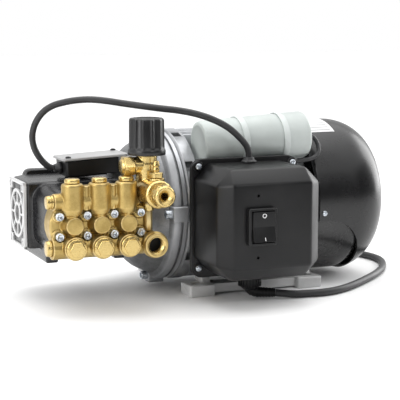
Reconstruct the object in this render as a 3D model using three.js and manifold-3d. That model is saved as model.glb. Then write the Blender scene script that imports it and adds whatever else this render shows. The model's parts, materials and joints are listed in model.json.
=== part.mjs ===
// Motor-driven pressure washer pump: a three-plunger brass pump flanged to a
// foot-mounted electric motor with a switch box, a capacitor and its leads.
// Millimetres. X runs along the shaft towards the fan, -Y is the side with the
// pump ports and the switch, Z is up from the floor.
import * as THREE from 'three';
import { mergeVertices } from 'three/addons/utils/BufferGeometryUtils.js';
import { ConvexGeometry } from 'three/addons/geometries/ConvexGeometry.js';
import Module from 'manifold-3d';

const wasm = await Module();
wasm.setup();

// ---- driving dimensions ----
const GAP = 0.3;
const SHAFT_HEIGHT = 90;
const FINE = 32;
const ROUND = 16;
const SMALL = 12;
const TINY = 6;

const MOTOR = { start: 14, end: 150, bore: 60, core: 64, fin: 82, finThick: 2.6 };
const STATOR = { start: 30, end: 134, bore: 39.5 };
const SHIELD = { start: -2, end: 14, radius: 83 };
const BELL = { start: -62, rim: -19, radius: 75, lugWidth: 16, lugTop: 87 };
const CASING = { radius: 84, end: 217, wall: 4 };
const COWL = { start: 150, end: 243, radius: 87.5, face: 50, roundStart: 196, wall: 2.5 };
const FAN = { start: 218.5, end: 236.5, bore: 9.5, hub: 16, reach: 56 };
const COWL_CUT = { top: 73, from: 165, reach: 46, middle: 12 };
const FOOT = { length: 155, inner: 56, outer: 84, railOuter: 76, padHeight: 12.4, padLength: 29 };
const BOX = { x0: 0, x1: 114.5, z0: 30, z1: 144, flange: -90, shoulder: -155, face: -170, wall: 2.5 };
const BOX_RIM = { x0: -2.5, x1: 119.5, z0: 23, z1: 148.6, thick: 3, corner: 12 };
const SWITCH = { x: 42, z: 87.5, width: 31, height: 38, front: -177, pivot: -174 };
const GLAND = { x: 58.5, y: -106.5 };
const GROMMET = { x: 58.5, y: -103, top: 150 };
const CAPACITOR = { x: 18.5, y: -60, z: 160, length: 124.5, rise: 7, radius: 25.7 };
const CRANK_BOX = { x0: -163, x1: -62, y0: -35, y1: 38, z0: 55, z1: 125 };
const END_COVER = { thick: 3.7, plate: 1.9, y1: 23, bore: 22, rim: 3.5 };
const CRANK = { pin: 10, throw: 5, chamber: 31, chamberStart: -150, journal: 9 };
const PLUNGERS = { x: [-139.2, -111, -82.8], radius: 7.5, back: -32, front: -106 };
const ROD = { bigEnd: 25, opened: 21.7, thick: 14 };
const HEAD = { x0: -156, x1: -62, z0: 72, z1: 109, back: -92, front: -114 };
const BOLTS = { x: [-152.5, -124.3, -96, -67.8], z: [101, 80.6], radius: 4.25, shank: 2.6, seat: -116 };
const COLUMN = { y: -118, radius: 11, foot: 98, top: 133.5 };
const SUCTION = { z: 69.5, y: -112, gallery: 11.5, boss: 11.8, mouth: -131, hex: 8.5 };
const DELIVERY = { y: -114, z: 115, radius: 8.5 };
const INLET = { x: -56, z: 68.5, face: -135, radius: 12.3, bore: 9.3, depth: 17 };
const UNLOADER = {
  x: -58.5, y: -112, z: 122, radius: 13.5, front: -150, neck: 11.4, neckTop: 158, stub: 6.4,
};
const FITTING = { end: -167, hexEnd: -163, corner: 12.4, barrel: 10.8, jet: 3.6, spigot: 4.6 };
const KNOB = { radius: 18.2, skirt: 19.2, z0: 158.4, skirtTop: 164.4, z1: 195.3, flutes: 12 };
const CONTROL = { x: -118, z: 128.1, length: 68, rise: 3.3, y0: -30, y1: 10, height: 16.5 };
const POWER_CABLE = { radius: 4, rest: 4.2 };
const COIL = { x: 168, y: 158, inner: 40, outer: 56, height: 16 };
const PLUG = { x: 136, y: 106, tail: 28, body: 44, radius: 18.3 };

// The row's origin lies on the floor below the middle of the machine.
const ORIGIN = { x: 39.05, y: -47.25 };

// ---- finishes ----
const finish = (color, metalness, roughness) => new THREE.MeshStandardMaterial(
  { color, metalness, roughness },
);
const castAluminium = finish(0x9a9c9e, 0.8, 0.5);
const castGrey = finish(0x8c8e90, 0.6, 0.6);
const castBrass = finish(0xc8a55a, 0.9, 0.4);
const machinedBrass = finish(0xe0c070, 0.95, 0.25);
const blackPaint = finish(0x2a2a2b, 0.1, 0.35);
const blackPlastic = finish(0x232323, 0, 0.45);
const rubber = finish(0x2e2e2e, 0, 0.8);
const palePlastic = finish(0xcdd4d2, 0, 0.5);
const zinc = finish(0xb9c0c6, 0.9, 0.35);
const steel = finish(0xa8a8a8, 0.9, 0.35);
const silverPaint = finish(0xd0d0d0, 0.5, 0.4);

// ---- solids ----
// Outlines are drawn as (a, b) and pushed along an axis:
// x has (a, b) = (Y, Z), y has (X, Z) and z has (X, Y).
const X = new THREE.Vector3(1, 0, 0);
const Y = new THREE.Vector3(0, 1, 0);
const Z = new THREE.Vector3(0, 0, 1);
const LAY = {
  x: new THREE.Matrix4().makeBasis(Y, Z, X),
  y: new THREE.Matrix4().makeBasis(X, Z, Y.clone().negate()),
  z: new THREE.Matrix4(),
};
const direction = (axis) => (axis === 'y' ? -1 : 1);

function solid(geometry) {
  const bare = new THREE.BufferGeometry();
  bare.setAttribute('position', geometry.getAttribute('position'));
  if (geometry.index) bare.setIndex(geometry.index);
  const merged = mergeVertices(bare, 1e-4);
  const triangles = [];
  for (let i = 0; i < merged.index.count; i += 3) {
    const corners = [0, 1, 2].map((k) => merged.index.getX(i + k));
    if (new Set(corners).size === 3) triangles.push(corners);
  }
  const build = (faces) => new wasm.Manifold(new wasm.Mesh({
    numProp: 3,
    vertProperties: Float32Array.from(merged.getAttribute('position').array),
    triVerts: Uint32Array.from(faces.flat()),
  }));
  const body = build(triangles);
  return body.volume() > 0 ? body : build(triangles.map(([p, q, r]) => [p, r, q]));
}

const join = (first, ...others) => others.reduce((sum, other) => sum.add(other), first);
const cut = (first, ...cutters) => cutters.reduce((rest, cutter) => rest.subtract(cutter), first);

function tapered(axis, fromRadius, toRadius, from, to, a, b, sides = ROUND) {
  const [high, low] = axis === 'y' ? [fromRadius, toRadius] : [toRadius, fromRadius];
  const geometry = new THREE.CylinderGeometry(high, low, to - from, sides);
  geometry.rotateX(Math.PI / 2);
  geometry.translate(a, b, (direction(axis) * (from + to)) / 2);
  return solid(geometry.applyMatrix4(LAY[axis]));
}

const rod = (axis, radius, from, to, a, b, sides = ROUND) =>
  tapered(axis, radius, radius, from, to, a, b, sides);

// profile: [radius, place along the axis] pairs.
function turned(axis, profile, a, b, sides = ROUND) {
  const points = profile.map(([radius, along]) => new THREE.Vector2(radius, direction(axis) * along));
  const geometry = new THREE.LatheGeometry(points, sides);
  geometry.rotateX(Math.PI / 2);
  geometry.translate(a, b, 0);
  return solid(geometry.applyMatrix4(LAY[axis]));
}

function block(x0, x1, y0, y1, z0, z1) {
  const geometry = new THREE.BoxGeometry(x1 - x0, y1 - y0, z1 - z0);
  return solid(geometry.translate((x0 + x1) / 2, (y0 + y1) / 2, (z0 + z1) / 2));
}

function roundedRect(a0, a1, b0, b1, corner) {
  const shape = new THREE.Shape();
  shape.moveTo(a0 + corner, b0);
  shape.absarc(a1 - corner, b0 + corner, corner, -Math.PI / 2, 0, false);
  shape.absarc(a1 - corner, b1 - corner, corner, 0, Math.PI / 2, false);
  shape.absarc(a0 + corner, b1 - corner, corner, Math.PI / 2, Math.PI, false);
  shape.absarc(a0 + corner, b0 + corner, corner, Math.PI, 1.5 * Math.PI, false);
  return shape;
}

function prism(axis, outline, from, to, bevel = 0, curveSegments = 3) {
  const shape = outline instanceof THREE.Shape
    ? outline
    : new THREE.Shape(outline.map(([a, b]) => new THREE.Vector2(a, b)));
  const geometry = new THREE.ExtrudeGeometry(shape, {
    depth: to - from - 2 * bevel,
    curveSegments,
    bevelEnabled: bevel > 0,
    bevelThickness: bevel,
    bevelSize: bevel,
    bevelOffset: -bevel,
    bevelSegments: 1,
  });
  geometry.translate(0, 0, bevel + (axis === 'y' ? -to : from));
  return solid(geometry.applyMatrix4(LAY[axis]));
}

// A convex body through outlines that lie across the Y axis.
function hullAlongY(...stations) {
  const points = stations.flatMap(
    ({ y, outline }) => outline.map(([x, z]) => new THREE.Vector3(x, y, z)),
  );
  return solid(new ConvexGeometry(points));
}

const outlinePoints = (shape, divisions = 3) => (
  shape.getPoints(divisions).map((point) => [point.x, point.y])
);

function swept(points, radius, sides, steps) {
  const path = new THREE.CatmullRomCurve3(
    points.map(([x, y, z]) => new THREE.Vector3(x, y, z)), false, 'centripetal',
  );
  const section = new THREE.Shape();
  for (let i = 0; i < sides; i += 1) {
    const angle = (2 * Math.PI * i) / sides;
    const corner = [radius * Math.cos(angle), radius * Math.sin(angle)];
    if (i === 0) section.moveTo(...corner);
    else section.lineTo(...corner);
  }
  return solid(new THREE.ExtrudeGeometry(section, { steps, extrudePath: path, bevelEnabled: false }));
}

// Turns a body by an angle in degrees about a line along X, the shaft's if none is given.
const around = (angle, body, y = 0, z = SHAFT_HEIGHT) => (
  body.translate([0, -y, -z]).rotate([angle, 0, 0]).translate([0, y, z])
);

const onShaft = (radius, from, to, sides = FINE) => rod('x', radius, from, to, 0, SHAFT_HEIGHT, sides);
const onShaftTurned = (profile, sides = FINE) => turned('x', profile, 0, SHAFT_HEIGHT, sides);

function hexagon(a, b, radius) {
  return Array.from({ length: 6 }, (_, i) => {
    const angle = (Math.PI * i) / 3;
    return [a + radius * Math.cos(angle), b + radius * Math.sin(angle)];
  });
}

// ---- the assembly ----
const machine = new THREE.Group();
const part = new THREE.Group();
machine.position.set(-ORIGIN.x, -ORIGIN.y, 0);
part.add(machine);

function piece(name, body, material, parent = machine) {
  const source = body.getMesh();
  const geometry = new THREE.BufferGeometry();
  geometry.setAttribute(
    'position', new THREE.BufferAttribute(Float32Array.from(source.vertProperties), 3),
  );
  geometry.setIndex(new THREE.BufferAttribute(Uint32Array.from(source.triVerts), 1));
  geometry.computeVertexNormals();
  const mesh = new THREE.Mesh(geometry, material);
  mesh.name = name;
  parent.add(mesh);
}

// ---- motor ----
// Fins stand on the core except where the switch box, the capacitor and the
// feet sit. Angles are in degrees from the top, positive towards the ports.
function finAngles() {
  const angles = [];
  for (let angle = -115; angle <= 18; angle += 7) angles.push(angle);
  for (let angle = 163; angle <= 198; angle += 7) angles.push(angle);
  return angles.map((angle) => (angle * Math.PI) / 180).sort((p, q) => q - p);
}

function makeMotorFrame() {
  const at = (radius, angle) => [-radius * Math.sin(angle), SHAFT_HEIGHT + radius * Math.cos(angle)];
  const outline = [];
  const half = MOTOR.finThick / 2;
  const rootHalf = half / MOTOR.core;
  const tipHalf = half / MOTOR.fin / 1.3;
  const step = (2 * Math.PI) / FINE;
  let last = (200 * Math.PI) / 180;
  finAngles().forEach((angle) => {
    for (let a = last - step; a > angle + rootHalf + 0.02; a -= step) outline.push(at(MOTOR.core, a));
    outline.push(at(MOTOR.core, angle + rootHalf), at(MOTOR.fin, angle + tipHalf));
    outline.push(at(MOTOR.fin, angle - tipHalf), at(MOTOR.core, angle - rootHalf));
    last = angle - rootHalf;
  });
  for (let a = last - step; a > (-158 * Math.PI) / 180; a -= step) outline.push(at(MOTOR.core, a));
  const finned = prism('x', outline, MOTOR.start + GAP, MOTOR.end - GAP);
  const boxPad = block(8 + MOTOR.start, 108, -66, -40, 53, 118);
  return cut(join(finned, boxPad), onShaft(MOTOR.bore, MOTOR.start, MOTOR.end));
}

function makeFrontShield() {
  const disc = onShaftTurned([
    [10.6, SHIELD.start + GAP], [SHIELD.radius - 3, SHIELD.start + GAP],
    [SHIELD.radius, SHIELD.start + 3], [SHIELD.radius, SHIELD.end], [58, SHIELD.end],
    [58, SHIELD.start + 6], [20, SHIELD.start + 6],
    [20, SHIELD.end + 4], [10.6, SHIELD.end + 4], [10.6, SHIELD.start + GAP],
  ]);
  const pockets = [];
  for (let angle = 18; angle < 360; angle += 36) {
    const pocket = join(
      block(SHIELD.start + 4, SHIELD.end - 3, -6, 6, 160, 176),
      rod('x', 6, SHIELD.start + 4, SHIELD.end - 3, 0, 160, SMALL),
    );
    pockets.push(around(angle, pocket.translate([0, 0, 10])));
  }
  return cut(disc, ...pockets);
}

function makeBellHousing() {
  const { start, rim, radius } = BELL;
  const end = SHIELD.start;
  const bowl = onShaftTurned([
    [18, start], [38, start], [40, start + 5], [54, start + 12], [63, start + 20], [70, start + 31],
    [radius, rim], [SHIELD.radius - 1, end], [66, end], [56, start + 24], [34, start + 8],
    [18, start + 6], [18, start],
  ]);
  const lugs = [0, 90, 180, 270].map((angle) => around(angle, join(
    block(
      rim - 1, end, -BELL.lugWidth / 2, BELL.lugWidth / 2, SHAFT_HEIGHT + 70,
      SHAFT_HEIGHT + BELL.lugTop - 6,
    ),
    rod('x', 8, rim - 1, end, 0, SHAFT_HEIGHT + BELL.lugTop - 8, SMALL),
  )));
  return join(bowl, ...lugs);
}

function makeRearCasing() {
  const { radius, end, wall } = CASING;
  const start = MOTOR.end;
  return onShaftTurned([
    [9.6, end - 12], [9.6, end], [radius - 20, end], [radius - 9, end - 3], [radius - 3, end - 9],
    [radius, end - 18], [radius, start], [radius - wall, start], [radius - wall, end - 18],
    [radius - 22, end - wall], [18, end - wall], [18, end - 12], [9.6, end - 12],
  ]);
}

function quarterEllipse(x0, r0, x1, r1, steps) {
  return Array.from({ length: steps + 1 }, (_, i) => {
    const angle = (Math.PI * i) / (2 * steps);
    return [r1 + (r0 - r1) * Math.cos(angle), x0 + (x1 - x0) * Math.sin(angle)];
  });
}

function makeFanCowl() {
  const { start, end, radius, face, roundStart, wall } = COWL;
  const outer = quarterEllipse(roundStart, radius, end, face, 5);
  const inner = quarterEllipse(roundStart, radius - wall, end - wall, face - 1, 5).reverse();
  const shell = onShaftTurned([
    [radius, start], ...outer, [0, end], [0, end - wall], ...inner, [radius - wall, start],
    [radius, start],
  ]);
  const scallop = [[start - 5, COWL_CUT.top], [COWL_CUT.from, COWL_CUT.top]];
  const rise = COWL_CUT.top - COWL_CUT.middle;
  for (let i = 1; i <= 10; i += 1) {
    const angle = (Math.PI * i) / 20;
    scallop.push(
      [COWL_CUT.from + COWL_CUT.reach * Math.sin(angle), COWL_CUT.middle + rise * Math.cos(angle)],
    );
  }
  scallop.push([COWL_CUT.from + COWL_CUT.reach, -5], [start - 5, -5]);
  const opened = cut(shell, prism('y', scallop, -100, 100));
  const slots = [18, 34].map((slot) => onShaftTurned(
    [[slot, end - 8], [slot + 8, end - 8], [slot + 8, end + 2], [slot, end + 2], [slot, end - 8]],
    24,
  ));
  const spokes = [0, 60, 120].map((angle) => around(angle, block(end - 9, end + 3, -3, 3, 20, 160)));
  return cut(opened, cut(join(...slots), ...spokes));
}

function makeFoot(side) {
  const rail = join(
    block(0, FOOT.length, -FOOT.railOuter, -FOOT.inner, 2, 11.5),
    prism('z', roundedRect(0, FOOT.padLength, -FOOT.outer, -FOOT.inner, 2), 0, FOOT.padHeight, 0.8, 2),
    prism('z', roundedRect(FOOT.length - FOOT.padLength, FOOT.length, -FOOT.outer, -FOOT.inner, 2),
      0, FOOT.padHeight, 0.8, 2),
  );
  const web = [[-74, 11], [-56.2, 11], [-36, 34], [-44, 52], [-54, 46], [-64, 32]];
  const webs = [[MOTOR.start + 4, FOOT.padLength - 2], [FOOT.length - FOOT.padLength + 2, 146]]
    .map(([from, to]) => prism('x', web, from, to));
  const holes = [13, FOOT.length - 13].map((x) => join(
    rod('z', 4, -1, 14, x - 3, -70, SMALL),
    block(x - 3, x + 3, -74, -66, -1, 14),
    rod('z', 4, -1, 14, x + 3, -70, SMALL),
  ));
  const foot = cut(join(rail, ...webs), ...holes, onShaft(MOTOR.core + GAP, -5, 160));
  return side < 0 ? foot : foot.mirror([0, 1, 0]);
}

function makeMotor() {
  piece('motor_frame', makeMotorFrame(), castAluminium);
  piece('stator', cut(
    onShaft(MOTOR.bore - GAP, STATOR.start, STATOR.end),
    onShaft(STATOR.bore, STATOR.start - 1, STATOR.end + 1),
  ), steel);
  piece('front_shield', makeFrontShield(), castAluminium);
  piece('bell_housing', makeBellHousing(), castAluminium);
  piece('foot_rail_front', makeFoot(-1), castGrey);
  piece('foot_rail_back', makeFoot(1), castGrey);
  piece('rear_casing', makeRearCasing(), blackPaint);
  piece('fan_cowl', makeFanCowl(), blackPlastic);
  piece('motor_rotor', onShaftTurned([
    [0, -20], [9, -20], [9, 31], [38, 31], [38, 133], [9, 133], [9, 225], [0, 225],
  ], ROUND), steel);
  const blades = Array.from({ length: 7 }, (_, i) => around((360 * i) / 7, block(
    FAN.start + 3, FAN.end, -1.2, 1.2, SHAFT_HEIGHT + 10, SHAFT_HEIGHT + FAN.reach,
  )));
  const hub = onShaftTurned([
    [FAN.bore, FAN.start], [FAN.hub, FAN.start], [FAN.hub, FAN.end], [FAN.bore, FAN.end],
    [FAN.bore, FAN.start],
  ], ROUND);
  const bore = onShaft(FAN.bore, FAN.start - 1, FAN.end + 1, ROUND);
  piece('cooling_fan', cut(join(hub, ...blades), bore), blackPlastic);
}

// ---- switch box ----
function boxStations(inset) {
  const { x0, x1, z0, z1, shoulder, face } = BOX;
  const corner = 16;
  const [left, right, low, high] = [x0 + inset, x1 - inset, z0 + inset, z1 - inset];
  const rim = [
    [left + corner, low], [right - corner, low], [right, low + corner], [right, high - corner],
    [right - corner, high], [left + corner, high], [left, high - corner], [left, low + corner],
  ];
  const front = [
    [left + 13.5, low + 14], [right - 15.3, low + 14], [right - 15.3, high - 14],
    [left + 13.5, high - 14],
  ];
  const back = inset > 0 ? BOX.flange + 5 : BOX.flange - GAP;
  return [
    { y: back, outline: rim }, { y: shoulder + inset / 2, outline: rim },
    { y: face + inset, outline: front },
  ];
}

function makeBoxCover() {
  const { x0, x1, z0, z1, thick, corner } = BOX_RIM;
  const rim = prism(
    'y', roundedRect(x0, x1, z0, z1, corner), BOX.flange - GAP - thick, BOX.flange - GAP, 0.6,
  );
  const cover = cut(join(rim, hullAlongY(...boxStations(0))), hullAlongY(...boxStations(BOX.wall)));
  const pinholes = [55.3, 118.4].map(
    (z) => rod('y', 1.5, BOX.face - 1, BOX.face + 5, SWITCH.x - 2.5, z, TINY),
  );
  const ports = [
    rod('z', 5, z1 - 10, z1, GROMMET.x, GROMMET.y, SMALL),
    rod('z', 8.3, z0, z0 + 12, GLAND.x, GLAND.y, SMALL),
  ];
  return cut(cover, ...pinholes, ...ports);
}

function makeBoxBase() {
  const { x0, x1, z0, z1, thick, corner } = BOX_RIM;
  const outside = join(
    prism('y', roundedRect(x0, x1, z0, z1, corner), BOX.flange, BOX.flange + thick, 0.6),
    prism('y', roundedRect(17, 115, 34, 132, 6), BOX.flange + 1, -66 - GAP),
  );
  return cut(outside, prism('y', roundedRect(20, 112, 37, 129, 4), BOX.flange - 1, -66 - GAP - 3));
}

function makeRocker() {
  const { x, z, pivot } = SWITCH;
  const half = 15;
  const tilt = -6;
  const profile = [[-1, -half], [-7.5, -half], [-4.6, 0], [-7.5, half], [-1, half], [1.8, 0]];
  const bar = prism('x', profile, x - 12, x + 12);
  return bar.rotate([tilt, 0, 0]).translate([0, pivot, z]);
}

function makeSwitchBox() {
  piece('terminal_box_base', makeBoxBase(), blackPlastic);
  piece('terminal_box_cover', makeBoxCover(), blackPlastic);
  const { x, z, width, height, front } = SWITCH;
  const frame = prism('y', roundedRect(x - width / 2, x + width / 2, z - height / 2, z + height / 2, 2),
    front, BOX.face - GAP, 0.8, 2);
  piece(
    'switch_frame', cut(frame, block(x - 12.6, x + 12.6, front - 1, BOX.face, z - 16.4, z + 16.4)),
    blackPlastic,
  );
  piece('switch_rocker', makeRocker(), blackPlastic);
  const nut = turned(
    'z', [[0, 29.7], [10, 29.7], [12.7, 27], [12.7, 17], [11.5, 12], [8, 9.5], [0, 9.5]], GLAND.x,
    GLAND.y,
  );
  const boot = swept([
    [GLAND.x, GLAND.y, 13], [GLAND.x + 1, GLAND.y - 0.5, 9.6], [GLAND.x + 6, GLAND.y - 2.5, 6.6],
    [GLAND.x + 14, GLAND.y - 6, 6], [GLAND.x + 24, GLAND.y - 10.5, 5.8],
  ], 5.6, 10, 8);
  piece('power_gland', join(nut, boot), rubber);
  piece('control_grommet', turned('z', [
    [0, 144.3], [8, 144.3], [8, 146], [6, 147.2], [5.2, GROMMET.top], [0, GROMMET.top],
  ], GROMMET.x, GROMMET.y), rubber);
}

// ---- capacitor ----
function makeCapacitor() {
  const group = new THREE.Group();
  group.position.set(CAPACITOR.x, CAPACITOR.y, CAPACITOR.z);
  group.rotation.y = -Math.atan2(CAPACITOR.rise, CAPACITOR.length);
  machine.add(group);
  const { length, radius } = CAPACITOR;
  piece('capacitor', turned('x', [
    [0, 1.5], [radius - 8, 1.5], [radius - 5, 0], [radius - 1.5, 1], [radius, 5],
    [radius, length - 5], [radius - 1.5, length - 1.5], [radius - 5, length], [0, length],
  ], 0, 0, FINE), palePlastic, group);
  const bands = [46, 93].map((x) => turned('x', [
    [radius + GAP, x - 3.5], [radius + 1.4, x - 3.5], [radius + 1.4, x + 3.5], [radius + GAP, x + 3.5],
    [radius + GAP, x - 3.5],
  ], 0, 0, 24));
  const towardsMotor = (-39.4 * Math.PI) / 180;
  const saddle = block(42, 97, -6, 6, -radius - 4, -radius - 0.8)
    .rotate([(-towardsMotor * 180) / Math.PI, 0, 0]);
  piece('capacitor_bracket', join(...bands, saddle), castGrey, group);
  piece('capacitor_lead', swept([
    [143.6, -63, 167], [148, -63.5, 166.4], [153, -65.5, 163], [156, -70, 155], [153.5, -75, 147],
    [146, -78, 142.4], [134, -78, 140.6], [122, -77.5, 140], [113, -80, 140], [110.4, -84, 140],
    [110.4, -86.6, 140],
  ], 2.4, 8, ROUND), rubber);
}

// ---- pump ----
function makeCrankcase() {
  const { x0, x1, y0, y1, z0, z1 } = CRANK_BOX;
  const corner = [[x0 - 1, END_COVER.y1 - 1], [x0 - 1, y1 + 1], [x0 + y1 - END_COVER.y1 + 1, y1 + 1]];
  const box = cut(
    prism('y', roundedRect(x0, x1, z0, z1, 3), y0, y1 - GAP, 1),
    prism('z', corner, z0 - 1, z1 + 1),
  );
  const neck = hullAlongY(
    { y: y0 + 1, outline: outlinePoints(roundedRect(-157, -64, 57, 123, ROUND)) },
    { y: HEAD.back + 14, outline: outlinePoints(roundedRect(-153, -68, 60, 120, ROUND)) },
    { y: HEAD.back + GAP, outline: outlinePoints(roundedRect(-149, -72, 65, 115, ROUND)) },
  );
  const feet = [[-148, -134.6], [-74, -62]].map(([from, to]) => block(from, to, -52, 34, 42, 60));
  const chamber = join(
    onShaft(CRANK.chamber, CRANK.chamberStart, x1 - 6, 24),
    onShaft(END_COVER.bore, x0 - 1, CRANK.chamberStart + 1, 24),
  );
  const bearing = onShaft(12, x1 - 7, x1 + 1, ROUND);
  const guides = PLUNGERS.x.map(
    (x) => rod('y', PLUNGERS.radius + GAP, HEAD.back - 1, 0, x, SHAFT_HEIGHT, ROUND),
  );
  const threads = BOLTS.x.slice(1).flatMap(
    (x) => BOLTS.z.map((z) => rod('y', 3, HEAD.back - 1, HEAD.back + 12, x, z, TINY)),
  );
  return cut(join(box, neck, ...feet), chamber, bearing, ...guides, ...threads);
}

function makeEndCover() {
  const { x0, y0, z0, z1 } = CRANK_BOX;
  const { thick, plate, y1, rim } = END_COVER;
  const middle = { y: (y0 + y1) / 2, z: (z0 + z1) / 2 };
  const face = x0 - thick;
  const floor = x0 - plate;
  const reach = (y1 - y0) / 2 - 1;
  const bar = block(face, floor, middle.y - reach, middle.y + reach, middle.z - 1.6, middle.z + 1.6);
  const ribs = [0, 45, 90, 135].map((angle) => around(angle, bar, middle.y, middle.z));
  const rings = [[9, 12.5], [20, 23.5]].map(([inner, outer]) => turned('x', [
    [inner, face], [outer, face], [outer, floor + 0.1], [inner, floor + 0.1], [inner, face],
  ], middle.y, middle.z));
  const lugs = [y0 + 5, y1 - 5].flatMap((y) => [z0 + 5, z1 - 5].map((z) => block(
    face - 0.3, floor + 0.1, y - 5, y + 5, z - 5, z + 5,
  )));
  return join(
    block(floor, x0 - GAP, y0, y1, z0, z1),
    cut(
      block(face, floor + 0.1, y0, y1, z0, z1),
      block(face - 1, x0, y0 + rim, y1 - rim, z0 + rim, z1 - rim),
    ),
    ...rings, ...ribs, ...lugs,
  );
}

function makeCrankshaft() {
  const shaft = onShaftTurned([
    [0, -157], [CRANK.journal, -157], [CRANK.journal, -60], [16, -58], [16, -20 - GAP], [0, -20 - GAP],
  ], ROUND);
  const pins = PLUNGERS.x.map((x, i) => {
    const phase = (2 * Math.PI * i) / 3;
    return rod(
      'x', CRANK.pin, x - 8, x + 8, CRANK.throw * Math.sin(phase),
      SHAFT_HEIGHT + CRANK.throw * Math.cos(phase),
    );
  });
  return join(shaft, ...pins);
}

function makePumpEnd() {
  const { x0, x1, y1 } = CRANK_BOX;
  piece('crankcase', makeCrankcase(), blackPaint);
  piece('end_cover', makeEndCover(), silverPaint);
  piece('rear_cover', prism('y', roundedRect(x0 + 17, x1 - 8, 52, 130, 8), y1, y1 + 12, 1.5), blackPaint);
  piece('crankshaft', makeCrankshaft(), steel);
  PLUNGERS.x.forEach((x, i) => {
    const eye = join(
      rod('x', ROD.bigEnd, x - ROD.thick / 2, x + ROD.thick / 2, 0, SHAFT_HEIGHT, ROUND),
      block(x - 4, x + 4, PLUNGERS.back, -18, SHAFT_HEIGHT - 5, SHAFT_HEIGHT + 5),
    );
    const opened = cut(eye, rod('x', ROD.opened, x - ROD.thick, x + ROD.thick, 0, SHAFT_HEIGHT, ROUND));
    piece(`con_rod_${i + 1}`, opened, steel);
    piece(
      `plunger_${i + 1}`,
      rod('y', PLUNGERS.radius, PLUNGERS.front, PLUNGERS.back - GAP, x, SHAFT_HEIGHT, ROUND), steel,
    );
  });
}

// ---- brass head ----
function makeManifold() {
  const { x0, x1, z0, z1, back, front } = HEAD;
  const outline = new THREE.Shape();
  outline.moveTo(x0, z0);
  outline.lineTo(x1, z0);
  outline.lineTo(x1, z1);
  outline.lineTo(x0, z1);
  outline.quadraticCurveTo(x0 - 11, (z0 + z1) / 2, x0, z0);
  const bodies = [prism('y', outline, front, back, 1.5, 6)];
  PLUNGERS.x.forEach((x) => {
    bodies.push(
      tapered('y', 9.4, 12, -122, front + 1, x, SHAFT_HEIGHT + 1.5),
      tapered('y', 8.8, 9.4, -128, -122, x, SHAFT_HEIGHT + 1.5),
      turned('z', [
        [0, COLUMN.foot], [5, COLUMN.foot + 1], [9, COLUMN.foot + 4], [COLUMN.radius, COLUMN.foot + 9],
        [COLUMN.radius, COLUMN.top - 1.5], [COLUMN.radius - 1.5, COLUMN.top], [0, COLUMN.top],
      ], x, COLUMN.y),
      rod('y', 7, -121, front + 1, x, COLUMN.foot + 3, SMALL),
      rod('y', SUCTION.boss, SUCTION.mouth, back - 4, x, SUCTION.z),
    );
  });
  BOLTS.x.forEach(
    (x) => BOLTS.z.forEach((z) => bodies.push(rod('y', 6.4, BOLTS.seat, front + 1, x, z, SMALL))),
  );
  [1, 2].forEach((i) => {
    const x = (PLUNGERS.x[i - 1] + PLUNGERS.x[i]) / 2;
    bodies.push(rod('z', 2.6, z1 - 3, 130.5, x, -119.5, 12));
  });
  bodies.push(
    block(-146, -76, -118.5, -108, z1 - 3, 130.5),
    rod('x', DELIVERY.radius, -158, -72, DELIVERY.y, DELIVERY.z),
    rod('x', SUCTION.gallery, -160, INLET.x, SUCTION.y, SUCTION.z - 1),
    rod('y', INLET.radius, INLET.face, -102, INLET.x, INLET.z),
    turned(
      'y', [[0, INLET.face + 4], [13.6, INLET.face + 4], [13.6, INLET.face + 9], [0, INLET.face + 9]],
      INLET.x, INLET.z,
    ),
    rod('x', 6, -76, -66, UNLOADER.y, UNLOADER.z - 6, ROUND),
  );
  const cutters = [
    rod('y', INLET.bore, INLET.face - 1, INLET.face + INLET.depth, INLET.x, INLET.z),
    rod('y', UNLOADER.radius + GAP, -155, -95, UNLOADER.x, UNLOADER.z),
    rod('z', UNLOADER.stub + GAP, 101, UNLOADER.z, UNLOADER.x + 1, UNLOADER.y),
    rod('z', 4.5 + GAP, INLET.z + INLET.radius, 102, UNLOADER.x + 1, UNLOADER.y),
  ];
  PLUNGERS.x.forEach(
    (x) => cutters.push(rod('y', PLUNGERS.radius + 0.7, -114, back + 1, x, SHAFT_HEIGHT, ROUND)),
  );
  BOLTS.x.forEach((x) => BOLTS.z.forEach((z) => cutters.push(rod('y', 3, -130, back + 1, x, z, TINY))));
  BOLTS.x.forEach(
    (x) => BOLTS.z.forEach((z) => cutters.push(rod('y', 5.2, -130, BOLTS.seat, x, z, SMALL))),
  );
  // Where cast surfaces just touch they can enclose specks of air, which are filled.
  return cut(join(...bodies), ...cutters).decompose().reduce((a, b) => (a.volume() > b.volume() ? a : b));
}

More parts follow.
